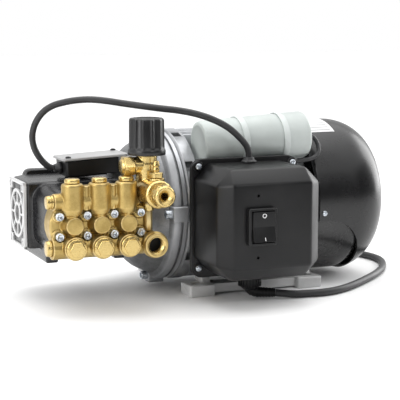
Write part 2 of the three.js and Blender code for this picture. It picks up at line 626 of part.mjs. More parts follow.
function makeHead() {
  piece('manifold', makeManifold(), castBrass);
  PLUNGERS.x.forEach((x, i) => {
    piece(`discharge_cap_${i + 1}`, turned('z', [
      [0, COLUMN.top + GAP], [7.8, COLUMN.top + GAP], [7.8, COLUMN.top + 3.8], [6.6, COLUMN.top + 4.8],
      [0, COLUMN.top + 4.8],
    ], x, COLUMN.y, ROUND), machinedBrass);
    const ring = turned('y', [
      [0, SUCTION.mouth - GAP], [10.7, SUCTION.mouth - GAP], [10.7, -133.5], [9.8, -134.4], [0, -134.4],
    ], x, SUCTION.z, ROUND);
    const hex = prism('y', hexagon(x, SUCTION.z, SUCTION.hex), -138, -134, 0.7);
    piece(`suction_cap_${i + 1}`, join(ring, hex), machinedBrass);
  });
  let count = 0;
  BOLTS.z.forEach((z) => BOLTS.x.forEach((x) => {
    count += 1;
    const shankEnd = x === BOLTS.x[0] ? HEAD.back - 1 : HEAD.back + 10;
    const head = turned('y', [
      [0, BOLTS.seat - GAP], [BOLTS.radius, BOLTS.seat - GAP], [BOLTS.radius, -120.6], [3.7, -121.2],
      [2.4, -121.2], [2.4, -118.8], [0, -118.8],
    ], x, z, 16);
    piece(
      `head_bolt_${count}`, join(head, rod('y', BOLTS.shank, BOLTS.seat - 1, shankEnd, x, z, TINY)), zinc,
    );
  }));
  piece('outlet_port_plug', join(
    rod('x', 7.2, -160.4, -158 - GAP, DELIVERY.y, DELIVERY.z, ROUND),
    rod('x', 6.2, -161.4, -160.3, DELIVERY.y, DELIVERY.z, ROUND),
    tapered('x', 6.4, 7.2, -165, -161.4, DELIVERY.y, DELIVERY.z, ROUND),
  ), machinedBrass);
  piece('inlet_port_plug', join(
    rod('x', 8.6, -162, -160 - GAP, SUCTION.y, SUCTION.z - 1, ROUND),
    tapered('x', 7.6, 8.2, -165, -161.9, SUCTION.y, SUCTION.z - 1, ROUND),
  ), machinedBrass);
}

// ---- unloader and regulator ----
function makeUnloader() {
  const { x, y, z, radius, front, neck, neckTop } = UNLOADER;
  const body = join(
    turned('y', [[0, -98], [radius - 2, -98], [radius, -100], [radius, -141], [radius + 0.8, -142],
      [radius + 0.8, front + 2], [radius - 1, front], [0, front]], x, z),
    rod('z', neck, z, neckTop - 8, x, y),
    turned('z', [[0, neckTop - 9], [neck - 0.8, neckTop - 9], [neck - 0.8, neckTop], [0, neckTop]], x, y),
    rod('z', UNLOADER.stub, 101.5, z, x + 1, y, ROUND),
    rod('x', 9, x - 14.5, x, y, neckTop - 10.5, ROUND),
    rod('z', 8.5, z, z + 14.5, x + 2.5, y - 20.5, ROUND),
  );
  const bores = [
    rod('z', 6.2, z + 6, neckTop + 1, x, y, ROUND), rod('y', 5, front - 1, front + 20, x, z, ROUND),
  ];
  piece('unloader_body', cut(body, ...bores), machinedBrass);
  const { end, hexEnd, corner, barrel, jet, spigot } = FITTING;
  const nozzle = turned('y', [
    [jet, front + 6], [spigot, front + 6], [spigot, front - GAP], [barrel, front - GAP],
    [barrel, end + 2], [barrel - 1.5, end], [8, end], [jet, end + 3.5], [jet, front + 6],
  ], x, z);
  const nut = cut(
    prism('y', hexagon(x, z, corner), hexEnd, front - GAP, 1.2),
    rod('y', barrel - 1, hexEnd - 1, front, x, z),
  );
  piece('outlet_fitting', join(nozzle, nut), machinedBrass);
  const side = { from: x - 28, to: x - 14.5 - GAP, z: neckTop - 10.5 };
  piece('unloader_plug', join(
    prism('x', hexagon(y, side.z, 10.6), side.from + 2, side.to, 0.8),
    tapered('x', 6.5, 8.8, side.from, side.from + 3, y, side.z, ROUND),
  ), machinedBrass);
  piece('bypass_nipple', join(
    prism('z', hexagon(x + 2.5, y - 20.5, 7.6), z + 14.5 + GAP, z + 20.5, 0.6),
    turned('z', [[0, z + 20], [3.2, z + 20], [3.2, z + 22], [3.8, z + 23], [3, z + 26], [3.8, z + 27],
      [3, z + 30], [2.6, z + 32], [0, z + 32]], x + 2.5, y - 20.5, SMALL),
  ), machinedBrass);
  piece(
    'bypass_pipe', rod('z', 4.5, INLET.z + INLET.radius + GAP, 101.5 - GAP, x + 1, y, ROUND), castBrass,
  );
}

function makeKnob() {
  const { radius, skirt, z0, skirtTop, z1, flutes } = KNOB;
  const outline = [];
  for (let i = 0; i < flutes; i += 1) {
    [[-0.5, radius], [-0.17, radius], [0, radius - 1.7], [0.17, radius]].forEach(([offset, r]) => {
      const angle = (2 * Math.PI * (i + offset)) / flutes;
      outline.push([UNLOADER.x + r * Math.cos(angle), UNLOADER.y + r * Math.sin(angle)]);
    });
  }
  const grip = prism('z', outline, skirtTop - 1, z1, 1);
  const ring = turned('z', [
    [0, z0], [skirt, z0], [skirt, skirtTop - 1], [radius, skirtTop], [0, skirtTop],
  ], UNLOADER.x, UNLOADER.y, 48);
  return cut(join(grip, ring), rod('z', 6.4, z0 - 1, z1 - 3.5, UNLOADER.x, UNLOADER.y, ROUND));
}

function makeRegulator() {
  piece('regulator_knob', makeKnob(), blackPlastic);
  piece('regulator_spindle', join(
    rod('z', 4.8, 136, 186, UNLOADER.x, UNLOADER.y, ROUND),
    rod('z', 5.6, 133, 137, UNLOADER.x, UNLOADER.y, ROUND),
  ), steel);
}

// ---- control box on the crankcase ----
function makeControlBox() {
  const { x, z, length, rise, y0, y1, height } = CONTROL;
  const group = new THREE.Group();
  group.position.set(x, 0, z);
  group.rotation.y = -Math.atan2(rise, length);
  machine.add(group);
  const box = join(
    prism('z', roundedRect(0, length - 9, y0, y1, 3), 0, height, 0.8, 3),
    block(8, length - 20, y0 + 12, y1 - 4, -2.6, 1),
  );
  piece(
    'control_box', cut(box, prism('z', roundedRect(3, length - 12, y0 + 3, y1 - 3, 2), 3, height + 1)),
    blackPlastic, group,
  );
  piece(
    'control_box_lid',
    prism('z', roundedRect(-3, length + 1, y0 - 1, y1 + 1, 3), height + GAP, height + 3, 0.5, 3),
    silverPaint, group,
  );
  piece('control_gland', join(
    prism('x', hexagon((y0 + y1) / 2, height / 2, 7), -3.5, -GAP, 0.6),
    tapered('x', 4.2, 5.4, -8, -3.5, (y0 + y1) / 2, height / 2, SMALL),
  ), rubber, group);
}

// ---- leads ----
function makeLeads() {
  piece('control_cable', swept([
    [-127.9, -10, 136.2], [-131.8, -10, 137.6], [-136.5, -10, 141.6], [-142, -10, 148],
    [-147, -10.3, 157], [-149.6, -11.5, 166], [-149.8, -13, 175], [-147, -16, 186],
    [-140, -19, 196.5], [-131, -22.5, 203],
    [-121, -27, 206.5], [-109, -33, 209], [-95, -40, 210], [-82, -47, 209], [-66, -56, 206.5],
    [-49, -66, 204], [-31, -76, 201.5], [-14, -84, 199.5], [3, -91, 196], [20, -97, 190],
    [36, -101.5, 181], [50, -103, 168.5], [56.5, -103, 160], [58.4, -103, 154],
    [GROMMET.x, GROMMET.y, GROMMET.top + GAP],
  ], 3.5, 8, 28), rubber);
  const floor = POWER_CABLE.rest;
  piece('power_cable', swept([
    [GLAND.x + 24.8, GLAND.y - 10.8, 5.8], [92, -121, 5], [104, -125, floor], [118, -127, floor],
    [135, -128, floor], [154, -123, floor], [175, -111, floor], [196, -95, floor], [217, -77, floor],
    [238, -57, floor],
    [258, -34, floor], [274, -9, floor], [284, 19, floor], [283, 48, floor], [271, 76, floor],
    [250, 96, floor],
    [222, 105.5, floor], [208, 106, floor], [197.5, 106, floor],
  ], POWER_CABLE.radius, 8, 34), rubber);
  piece('power_cable_coil', turned('z', [
    [COIL.inner, 0.1], [COIL.outer, 0.1], [COIL.outer, COIL.height], [COIL.inner, COIL.height],
    [COIL.inner, 0.1],
  ], COIL.x, COIL.y, FINE), rubber);
  const { x, y, tail, body, radius } = PLUG;
  const end = x - tail - body;
  piece('power_plug', join(
    tapered('x', 11, 5.6, x - tail, x, y, 11.4, ROUND),
    turned('x', [
      [0, end], [radius - 1.5, end], [radius, end + 2], [radius, x - tail - 10], [13, x - tail],
      [0, x - tail + 2],
    ], y, radius + 0.1, ROUND),
    rod('x', 2.4, end - 19, end + 1, y - 9.5, radius, 12),
    rod('x', 2.4, end - 19, end + 1, y + 9.5, radius, 12),
  ), blackPlastic);
}

makeMotor();
makeSwitchBox();
makeCapacitor();
makePumpEnd();
makeHead();
makeUnloader();
makeRegulator();
makeControlBox();
makeLeads();

export default part;
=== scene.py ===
import json
import math
import bmesh
import bpy
from mathutils import Matrix, Vector


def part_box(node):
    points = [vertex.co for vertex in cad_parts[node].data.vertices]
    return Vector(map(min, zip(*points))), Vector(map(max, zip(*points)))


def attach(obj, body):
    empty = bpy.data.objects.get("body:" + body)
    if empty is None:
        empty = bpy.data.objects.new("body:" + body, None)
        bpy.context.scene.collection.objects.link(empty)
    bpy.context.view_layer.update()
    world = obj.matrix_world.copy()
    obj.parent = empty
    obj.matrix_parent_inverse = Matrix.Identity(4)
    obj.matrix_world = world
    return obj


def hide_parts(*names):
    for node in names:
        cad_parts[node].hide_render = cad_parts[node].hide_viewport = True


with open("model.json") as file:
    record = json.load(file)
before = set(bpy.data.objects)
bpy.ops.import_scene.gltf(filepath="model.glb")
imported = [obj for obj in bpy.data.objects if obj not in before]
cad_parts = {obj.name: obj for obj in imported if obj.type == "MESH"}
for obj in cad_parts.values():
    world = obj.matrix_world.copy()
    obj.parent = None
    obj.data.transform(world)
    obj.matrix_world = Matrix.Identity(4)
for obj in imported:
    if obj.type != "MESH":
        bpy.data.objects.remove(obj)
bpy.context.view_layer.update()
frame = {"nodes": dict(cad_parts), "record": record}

# Metres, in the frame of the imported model: +X runs along the motor shaft
# towards the fan, -Y is the side with the ports and the switch.
MM = 0.001
MERGE = 1e-7
WELD = 0.00002
FACING_FRONT = (math.pi / 2, 0, 0)
FACING_LEFT = (0, -math.pi / 2, 0)
RECORD = frame["record"]
BODY_OF = {node: body for body, nodes in RECORD["behaviour"]["bodies"].items() for node in nodes}
SLOT_OF = {part["node"]: part["material_slot"] for part in RECORD["subparts"]}
SHAFT = Vector((0, 0, 0.090))


def middle(node):
    low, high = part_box(node)
    return (low + high) / 2


def linked(name, data):
    """A new object in the scene that shows the given data."""
    thing = bpy.data.objects.new(name, data)
    bpy.context.scene.collection.objects.link(thing)
    return thing


SHAFT.y = middle("motor_rotor").y

# Sizes below are in the machine's own millimetres, measured from the end of
# the motor along the shaft (X), from the shaft towards the back (Y) and from the floor.
MACHINE = Vector((39.05, -47.25, 0))


def at(x, y, z):
    return (Vector((x, y, z)) - MACHINE) * MM


def to_frame(points):
    return [at(*point) for point in points]


# Places and sizes in those millimetres that several pieces share.
PLUNGER_X = (-139.2, -111.0, -82.8)
COWL_RADIUS, COWL_WALL = 87.5, 2.5
CASING_RADIUS, CASING_WALL = 84.0, 4.0
COWL_OPENING_TOP = 73.0
INLET_MOUTH = (-56.0, -135.0, 68.5)
OUTLET_MOUTH = (-58.5, -150.3, 122.0)
GLAND_PLACE = (58.5, -106.5)

# ---- camera
CAMERA_TURN = 22.0
CAMERA_FALL = 8.238
CAMERA_PLACE = Vector((-0.57425, -1.38825, 0.3154))
CAMERA_LENS = 126.0
SENSOR_WIDTH = 36.0


def make_camera():
    data = bpy.data.cameras.new("camera")
    data.lens = CAMERA_LENS
    data.sensor_width = SENSOR_WIDTH
    camera = linked("camera", data)
    camera.location = CAMERA_PLACE
    camera.rotation_euler = (math.radians(90 - CAMERA_FALL), 0, math.radians(-CAMERA_TURN))
    bpy.context.scene.camera = camera


make_camera()

# ---- shader groups


def shader_group(name, inputs, outputs):
    """A node group that takes a vector and the given inputs and gives plain numbers."""
    tree = bpy.data.node_groups.new(name, "ShaderNodeTree")
    for label, kind in (("Vector", "NodeSocketVector"), *inputs):
        tree.interface.new_socket(label, in_out="INPUT", socket_type=kind)
    for label in outputs:
        tree.interface.new_socket(label, in_out="OUTPUT", socket_type="NodeSocketFloat")
    return tree, tree.nodes.new("NodeGroupInput"), tree.nodes.new("NodeGroupOutput")


def noise_node(tree, vector, scale, detail=5.0, roughness=0.55):
    node = tree.nodes.new("ShaderNodeTexNoise")
    node.inputs["Detail"].default_value = detail
    node.inputs["Roughness"].default_value = roughness
    tree.links.new(vector, node.inputs["Vector"])
    if isinstance(scale, bpy.types.NodeSocket):
        tree.links.new(scale, node.inputs["Scale"])
    else:
        node.inputs["Scale"].default_value = scale
    return node.outputs["Fac"]


def math_node(tree, operation, first, second):
    node = tree.nodes.new("ShaderNodeMath")
    node.operation = operation
    for socket, value in zip(node.inputs, (first, second)):
        if isinstance(value, bpy.types.NodeSocket):
            tree.links.new(value, socket)
        else:
            socket.default_value = value
    return node.outputs[0]


def spread_node(tree, value, low, high, to_low=0.0, to_high=1.0):
    node = tree.nodes.new("ShaderNodeMapRange")
    tree.links.new(value, node.inputs["Value"])
    limits = {"From Min": low, "From Max": high, "To Min": to_low, "To Max": to_high}
    for label, number in limits.items():
        node.inputs[label].default_value = number
    return node.outputs[0]


FINE_SHARE = 0.35


def make_cast_skin():
    """Sand-cast or die-cast skin: fine grain, slow blotches and worn high spots."""
    tree, source, sink = shader_group(
        "cast_skin", [("Grain", "NodeSocketFloat"), ("Blotch", "NodeSocketFloat")],
        ["Tone", "Height", "Wear"],
    )
    grain = noise_node(tree, source.outputs["Vector"], source.outputs["Grain"], 6.0, 0.6)
    blotch = noise_node(tree, source.outputs["Vector"], source.outputs["Blotch"], 3.0)
    geometry = tree.nodes.new("ShaderNodeNewGeometry")
    wear = spread_node(tree, geometry.outputs["Pointiness"], 0.51, 0.57)
    fine = math_node(tree, "MULTIPLY", grain, FINE_SHARE)
    slow = math_node(tree, "MULTIPLY", blotch, 1 - FINE_SHARE)
    tone = spread_node(tree, math_node(tree, "ADD", fine, slow), 0.35, 0.65)
    tree.links.new(tone, sink.inputs["Tone"])
    tree.links.new(grain, sink.inputs["Height"])
    tree.links.new(wear, sink.inputs["Wear"])
    return tree


def make_tool_marks():
    """Fine lines left by turning, running round the Z axis of the piece."""
    tree, source, sink = shader_group(
        "tool_marks", [("Lines", "NodeSocketVector")], ["Tone", "Height"],
    )
    stretch = tree.nodes.new("ShaderNodeVectorMath")
    stretch.operation = "MULTIPLY"
    tree.links.new(source.outputs["Vector"], stretch.inputs[0])
    tree.links.new(source.outputs["Lines"], stretch.inputs[1])
    lines = noise_node(tree, stretch.outputs[0], 1.0, 3.0)
    tree.links.new(spread_node(tree, lines, 0.35, 0.65), sink.inputs["Tone"])
    tree.links.new(lines, sink.inputs["Height"])
    return tree


def make_moulded_grain():
    """Spark-eroded mould grain with a little handling haze."""
    tree, source, sink = shader_group(
        "moulded_grain", [("Grain", "NodeSocketFloat"), ("Haze", "NodeSocketFloat")],
        ["Haze", "Height"],
    )
    cells = tree.nodes.new("ShaderNodeTexVoronoi")
    tree.links.new(source.outputs["Vector"], cells.inputs["Vector"])
    tree.links.new(source.outputs["Grain"], cells.inputs["Scale"])
    haze = noise_node(tree, source.outputs["Vector"], source.outputs["Haze"], 4.0)
    tree.links.new(spread_node(tree, haze, 0.35, 0.7), sink.inputs["Haze"])
    tree.links.new(cells.outputs["Distance"], sink.inputs["Height"])
    return tree


CAST_SKIN = make_cast_skin()
TOOL_MARKS = make_tool_marks()
MOULDED_GRAIN = make_moulded_grain()

# ---- materials


LINE_DENSITY = (300.0, 300.0, 3000.0)


def start_material(name, group, settings):
    material = bpy.data.materials.new(name)
    material.use_nodes = True
    tree = material.node_tree
    shader = tree.nodes["Principled BSDF"]
    place = tree.nodes.new("ShaderNodeTexCoord")
    effect = tree.nodes.new("ShaderNodeGroup")
    effect.node_tree = group
    tree.links.new(place.outputs["Object"], effect.inputs["Vector"])
    for label, value in settings.items():
        effect.inputs[label].default_value = value
    return material, tree, shader, effect


def mix_colour(tree, factor, dark, light):
    node = tree.nodes.new("ShaderNodeMix")
    node.data_type = "RGBA"
    tree.links.new(factor, node.inputs["Factor"])
    for label, colour in (("A", dark), ("B", light)):
        socket = [s for s in node.inputs if s.name == label and s.type == "RGBA"][0]
        if isinstance(colour, bpy.types.NodeSocket):
            tree.links.new(colour, socket)
        else:
            socket.default_value = (*colour, 1)
    return [s for s in node.outputs if s.type == "RGBA"][0]


def add_bump(tree, shader, height, strength, distance):
    bump = tree.nodes.new("ShaderNodeBump")
    bump.inputs["Strength"].default_value = strength
    bump.inputs["Distance"].default_value = distance
    tree.links.new(height, bump.inputs["Height"])
    tree.links.new(bump.outputs[0], shader.inputs["Normal"])


def link_roughness(tree, shader, value, at_none, at_full):
    rough = spread_node(tree, value, 0, 1, at_none, at_full)
    tree.links.new(rough, shader.inputs["Roughness"])


def cast_metal(name, dark, light, worn, metallic, rough, grain=900.0, depth=0.00025, strength=0.35):
    material, tree, shader, skin = start_material(name, CAST_SKIN, {"Grain": grain, "Blotch": 70.0})
    body = mix_colour(tree, skin.outputs["Tone"], dark, light)
    colour = mix_colour(tree, skin.outputs["Wear"], body, worn)
    tree.links.new(colour, shader.inputs["Base Color"])
    link_roughness(tree, shader, skin.outputs["Tone"], *reversed(rough))
    shader.inputs["Metallic"].default_value = metallic
    add_bump(tree, shader, skin.outputs["Height"], strength, depth)
    return material


def turned_metal(name, dark, light, metallic, rough, strength=0.15):
    material, tree, shader, marks = start_material(name, TOOL_MARKS, {"Lines": LINE_DENSITY})
    tree.links.new(mix_colour(tree, marks.outputs["Tone"], dark, light), shader.inputs["Base Color"])
    link_roughness(tree, shader, marks.outputs["Tone"], *reversed(rough))
    shader.inputs["Metallic"].default_value = metallic
    add_bump(tree, shader, marks.outputs["Height"], strength, 0.0001)
    return material


def moulded(name, dark, light, rough, grain=900.0, strength=0.03, specular=0.5):
    material, tree, shader, mould = start_material(name, MOULDED_GRAIN, {"Grain": grain, "Haze": 25.0})
    tree.links.new(mix_colour(tree, mould.outputs["Haze"], dark, light), shader.inputs["Base Color"])
    link_roughness(tree, shader, mould.outputs["Haze"], *rough)
    shader.inputs["Specular IOR Level"].default_value = specular
    add_bump(tree, shader, mould.outputs["Height"], strength, 0.0001)
    return material


def grey(value, blue=0.0):
    """A neutral colour, with a little more blue if asked for."""
    return (value, value, value + blue)


# Dark and light tones, worn edges (cast metal only), then how metallic and how rough.
CAST_BRASS = cast_metal(
    "cast_brass", (0.38, 0.265, 0.085), (0.56, 0.41, 0.155), (0.84, 0.66, 0.33), 0.9, (0.30, 0.44),
)
TURNED_BRASS = turned_metal(
    "turned_brass", (0.56, 0.41, 0.155), (0.66, 0.50, 0.21), 0.95, (0.22, 0.30), strength=0.06,
)
CAST_ALUMINIUM = cast_metal(
    "cast_aluminium", (0.16, 0.164, 0.168), (0.26, 0.264, 0.272), (0.54, 0.55, 0.57), 0.7,
    (0.36, 0.52), grain=700.0, depth=0.0004, strength=0.5,
)
CAST_GREY = cast_metal("cast_grey", grey(0.50), grey(0.64), grey(0.76), 0.3, (0.5, 0.68))
BLACK_PAINT = cast_metal(
    "black_paint", grey(0.006, 0.001), grey(0.013, 0.001), grey(0.03), 0.0, (0.20, 0.32),
    grain=500.0, depth=0.0002, strength=0.12,
)
SILVER_PAINT = cast_metal(
    "silver_paint", grey(0.38, 0.005), grey(0.50, 0.005), grey(0.66), 0.35, (0.35, 0.5),
)
ZINC = turned_metal("zinc_plate", (0.50, 0.54, 0.58), (0.74, 0.78, 0.83), 0.9, (0.20, 0.36))
STEEL = turned_metal("ground_steel", grey(0.45, 0.01), grey(0.62, 0.01), 0.95, (0.22, 0.35))
GLOSS_BLACK = moulded(
    "gloss_black_plastic", grey(0.005, 0.0005), grey(0.010, 0.0005), (0.24, 0.32),
    grain=400.0, strength=0.02,
)
SATIN_BLACK = moulded(
    "satin_black_plastic", grey(0.005, 0.0005), grey(0.010, 0.0005), (0.32, 0.42), specular=0.3,
)
KNOB_BLACK = moulded(
    "knob_black_plastic", grey(0.007, 0.0005), grey(0.014, 0.001), (0.30, 0.42), strength=0.05,
)
PALE_PLASTIC = moulded("capacitor_plastic", (0.45, 0.49, 0.473), (0.54, 0.58, 0.563), (0.30, 0.42))
PALE_STRAP = moulded("strap_plastic", (0.56, 0.60, 0.585), (0.64, 0.68, 0.665), (0.25, 0.35))
LEAD_RUBBER = moulded(
    "lead_rubber", grey(0.016, 0.001), grey(0.034, 0.002), (0.40, 0.55), grain=1400.0, strength=0.12,
)
PLATE_WHITE = moulded("plate_white", grey(0.72), grey(0.80), (0.3, 0.42), strength=0.02)
MARK_WHITE = moulded("mark_white", grey(0.60), grey(0.72), (0.4, 0.5), strength=0.02)
LID_GREY = moulded("lid_grey", grey(0.36), grey(0.44), (0.3, 0.42))
PLATE_GREY = moulded("plate_grey", grey(0.34, 0.01), grey(0.42, 0.01), (0.4, 0.5), strength=0.02)
# Near black, used as painted shade at the back of a deep bore.
PAINTED_SHADE_DARK = moulded("painted_shade_recess", grey(0.003), grey(0.006), (0.6, 0.8), strength=0.02)

FINISH = {
    "cast_aluminium": CAST_ALUMINIUM,
    "cast_grey": CAST_GREY,
    "lamination_steel": STEEL,
    "machined_steel": STEEL,
    "zinc_plate": ZINC,
    "cast_brass": CAST_BRASS,
    "machined_brass": TURNED_BRASS,
    "black_paint": BLACK_PAINT,
    "silver_paint": SILVER_PAINT,
    "black_plastic": SATIN_BLACK,
    "knob_plastic": KNOB_BLACK,
    "pale_plastic": PALE_PLASTIC,
    "rubber": LEAD_RUBBER,
}

# ---- mesh helpers


def new_piece(name, mesh, body, material):
    piece = linked(name, mesh)
    mesh.materials.clear()
    mesh.materials.append(material)
    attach(piece, body)
    return piece


def stand_in(nodes, name, mesh, material=None):
    """A piece that replaces CAD parts and takes its body, and the finish for its slot, from the first.
    """
    slot = SLOT_OF[nodes[0]]
    piece = new_piece(name, mesh, BODY_OF[nodes[0]], material or FINISH[slot])
    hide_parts(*nodes)
    return piece


def mesh_from(name, work):
    mesh = bpy.data.meshes.new(name)
    work.to_mesh(mesh)
    work.free()
    return mesh


def smooth(mesh, angle=32.0):
    mesh.shade_smooth()
    mesh.set_sharp_from_angle(angle=math.radians(angle))


def evaluated(holder, *helpers):
    """The mesh of a work object after its modifiers. The work objects are removed."""
    graph = bpy.context.evaluated_depsgraph_get()
    result = bpy.data.meshes.new_from_object(holder.evaluated_get(graph))
    for leftover in (holder, *helpers):
        bpy.data.objects.remove(leftover)
    return result


def baked(mesh, *modifiers):
    """The mesh with the given modifiers applied. Each is (kind, settings)."""
    holder = linked("work", mesh)
    for kind, settings in modifiers:
        modifier = holder.modifiers.new(kind.lower(), kind)
        for label, value in settings.items():
            setattr(modifier, label, value)
    return evaluated(holder)


def cad_copy(node):
    work = bmesh.new()
    work.from_mesh(frame["nodes"][node].data)
    bmesh.ops.remove_doubles(work, verts=work.verts, dist=WELD)
    bmesh.ops.dissolve_degenerate(work, edges=work.edges, dist=WELD)
    return mesh_from(node + "_copy", work)


def edged(node, width, segments, material=None, name=None):
    """The CAD shape with its corners rounded by a small bevel."""
    mesh = baked(cad_copy(node), ("BEVEL", {
        "width": width * MM, "segments": segments, "limit_method": "ANGLE",
        "angle_limit": math.radians(35), "use_clamp_overlap": True, "harden_normals": False,
    }))
    smooth(mesh)
    return stand_in([node], name or node + "_finished", mesh, material)


def cast(node, voxel, rounds, material=None, keep=1.0, bosses=()):
    """The CAD shape, with any bosses joined to it, and a casting's soft corners and fillets."""
    mesh = baked(
        merged(node, cad_copy(node), *bosses) if bosses else cad_copy(node),
        ("REMESH", {"mode": "VOXEL", "voxel_size": voxel * MM, "adaptivity": 0.0}),
        ("SMOOTH", {"factor": 0.5, "iterations": rounds}),
        ("DECIMATE", {"ratio": keep}),
    )
    mesh.shade_smooth()
    return stand_in([node], node + "_casting", mesh, material)


def frame_along(direction):
    """A turn that takes +Z to the given direction."""
    return Vector((0, 0, 1)).rotation_difference(Vector(direction).normalized()).to_matrix().to_4x4()


def scaled(pairs):
    """Pairs in millimetres as pairs in metres."""
    return [(a * MM, b * MM) for a, b in pairs]


def bridge(work, low, high):
    """Faces between two loops of as many points."""
    for i in range(len(low)):
        j = (i + 1) % len(low)
        work.faces.new((low[i], low[j], high[j], high[i]))


def soften_edges(work, width, segments):
    """Rounds every edge, by a width in millimetres."""
    bmesh.ops.bevel(
        work, geom=work.edges[:], offset=width * MM, segments=segments, profile=0.5, affect="EDGES",
    )


def round_shaft(x, radius, angle):
    """A point round the shaft: x in frame metres, the angle from the top towards the back."""
    reach = radius * MM
    return Vector((x, SHAFT.y + reach * math.sin(angle), SHAFT.z + reach * math.cos(angle)))


def lathe_on_shaft(name, profile, steps):
    return lathe(name, profile, (1, 0, 0), (0, SHAFT.y, SHAFT.z), steps)


def turned_about(centre, angle, axis="X"):
    """A turn about a line through a point, along an axis."""
    return Matrix.Translation(centre) @ Matrix.Rotation(angle, 4, axis) @ Matrix.Translation(-centre)


def lathe(name, profile, direction, origin, steps=96):
    """A closed body turned round an axis. profile holds (radius, place) in metres."""
    work = bmesh.new()
    rings = []
    for radius, along in profile:
        turns = [2 * math.pi * i / steps for i in range(1 if radius < MERGE else steps)]
        spots = [(radius * math.cos(a), radius * math.sin(a), along) for a in turns]
        rings.append([work.verts.new(spot) for spot in spots])
    for low, high in zip(rings, rings[1:]):
        for i in range(steps):
            j = (i + 1) % steps
            if len(low) == 1 and len(high) == 1:
                continue
            if len(low) == 1:
                work.faces.new((low[0], high[j], high[i]))
            elif len(high) == 1:
                work.faces.new((low[i], low[j], high[0]))
            else:
                work.faces.new((low[i], low[j], high[j], high[i]))
    bmesh.ops.remove_doubles(work, verts=work.verts, dist=MERGE)
    place = Matrix.Translation(origin) @ frame_along(direction)
    bmesh.ops.transform(work, matrix=place, verts=work.verts)
    bmesh.ops.recalc_face_normals(work, faces=work.faces)
    return mesh_from(name, work)


def slab(name, outline, depth, place):
    """A flat outline in (x, y), pushed up by depth and then put in place by a matrix."""
    work = bmesh.new()
    low = [work.verts.new((x, y, 0)) for x, y in outline]
    high = [work.verts.new((x, y, depth)) for x, y in outline]
    work.faces.new(list(reversed(low)))
    work.faces.new(high)
    bridge(work, low, high)
    bmesh.ops.transform(work, matrix=place, verts=work.verts)
    bmesh.ops.recalc_face_normals(work, faces=work.faces)
    return mesh_from(name, work)


def rounded_outline(width, height, corner, steps=6):
    points = []
    for quarter, (cx, cy) in enumerate([(1, 1), (-1, 1), (-1, -1), (1, -1)]):
        for i in range(steps + 1):
            angle = math.pi / 2 * (quarter + i / steps)
            points.append((cx * (width / 2 - corner) + corner * math.cos(angle),
                           cy * (height / 2 - corner) + corner * math.sin(angle)))
    return points


def drilled(mesh, *cutters):
    """The mesh with closed cutter meshes taken out of it."""
    holder = linked("work", mesh)
    tools = [linked("cutter", cutter) for cutter in cutters]
    for tool in tools:
        modifier = holder.modifiers.new("cut", "BOOLEAN")
        modifier.operation = "DIFFERENCE"
        modifier.solver = "EXACT"
        modifier.object = tool
    return evaluated(holder, *tools)


def bar(low, high, soften=0.0, segments=2):
    """A rectangular bar between two corners in machine millimetres, with softened edges."""
    work = bmesh.new()
    bmesh.ops.create_cube(work, size=1.0)
    first, last = at(*low), at(*high)
    size = last - first
    place = Matrix.Translation((first + last) / 2) @ Matrix.Diagonal((*[abs(v) for v in size], 1))
    bmesh.ops.transform(work, matrix=place, verts=work.verts)
    if soften:
        soften_edges(work, soften, segments)
    return mesh_from("bar", work)


def round_bar(radius, start, end, soften=0.0, steps=48):
    """A round bar from start to end, in machine millimetres, with chamfered rims."""
    axis = at(*end) - at(*start)
    length = axis.length / MM
    profile = [(0, 0), (radius - soften, 0), (radius, soften), (radius, length - soften),
               (radius - soften, length), (0, length)]
    return lathe("round_bar", scaled(profile), axis, at(*start), steps)


def merged(name, *meshes):
    """Several closed meshes as one, each kept whole."""
    work = bmesh.new()
    for mesh in meshes:
        work.from_mesh(mesh)
        bpy.data.meshes.remove(mesh)
    return mesh_from(name, work)


def stands_for(nodes, name, mesh, material=None, angle=32.0):
    """A finished piece in the place of one or more CAD parts, smoothed up to an angle."""
    smooth(mesh, angle)
    return stand_in(nodes, name, mesh, material)


def added(name, body, mesh, material, angle=32.0):
    smooth(mesh, angle)
    return new_piece(name, mesh, body, material)


# ---- repeats by geometry nodes


def repeat_tree():
    """Puts one part on every point of the input, facing one way."""
    tree = bpy.data.node_groups.new("repeat_on_points", "GeometryNodeTree")
    takes = {"Geometry": "Geometry", "Part": "Object", "Turn": "Rotation", "Finish": "Material"}
    for label, kind in takes.items():
        tree.interface.new_socket(label, in_out="INPUT", socket_type="NodeSocket" + kind)
    tree.interface.new_socket("Geometry", in_out="OUTPUT", socket_type="NodeSocketGeometry")
    source, sink = tree.nodes.new("NodeGroupInput"), tree.nodes.new("NodeGroupOutput")
    info = tree.nodes.new("GeometryNodeObjectInfo")
    spread = tree.nodes.new("GeometryNodeInstanceOnPoints")
    real = tree.nodes.new("GeometryNodeRealizeInstances")
    paint = tree.nodes.new("GeometryNodeSetMaterial")
    for giver, output, taker, socket in (
        (source, "Part", info, "Object"),
        (source, "Geometry", spread, "Points"),
        (info, "Geometry", spread, "Instance"),
        (source, "Turn", spread, "Rotation"),
        (spread, "Instances", real, "Geometry"),
        (real, "Geometry", paint, "Geometry"),
        (source, "Finish", paint, "Material"),
        (paint, "Geometry", sink, "Geometry"),
    ):
        tree.links.new(giver.outputs[output], taker.inputs[socket])
    return tree


REPEAT_TREE = repeat_tree()


def repeated(name, part_mesh, points, turn, body, material):
    """One piece holding a copy of part_mesh at each point."""
    places = bpy.data.meshes.new("points")
    places.from_pydata([tuple(p) for p in points], [], [])
    holder = linked("work", places)
    part = linked("part", part_mesh)
    modifier = holder.modifiers.new("repeat", "NODES")
    modifier.node_group = REPEAT_TREE
    sockets = {s.name: s.identifier for s in REPEAT_TREE.interface.items_tree if s.in_out == "INPUT"}
    for label, value in (("Part", part), ("Turn", turn), ("Finish", material)):
        modifier[sockets[label]] = value
    mesh = evaluated(holder, part)
    smooth(mesh, 40)
    return new_piece(name, mesh, body, material)


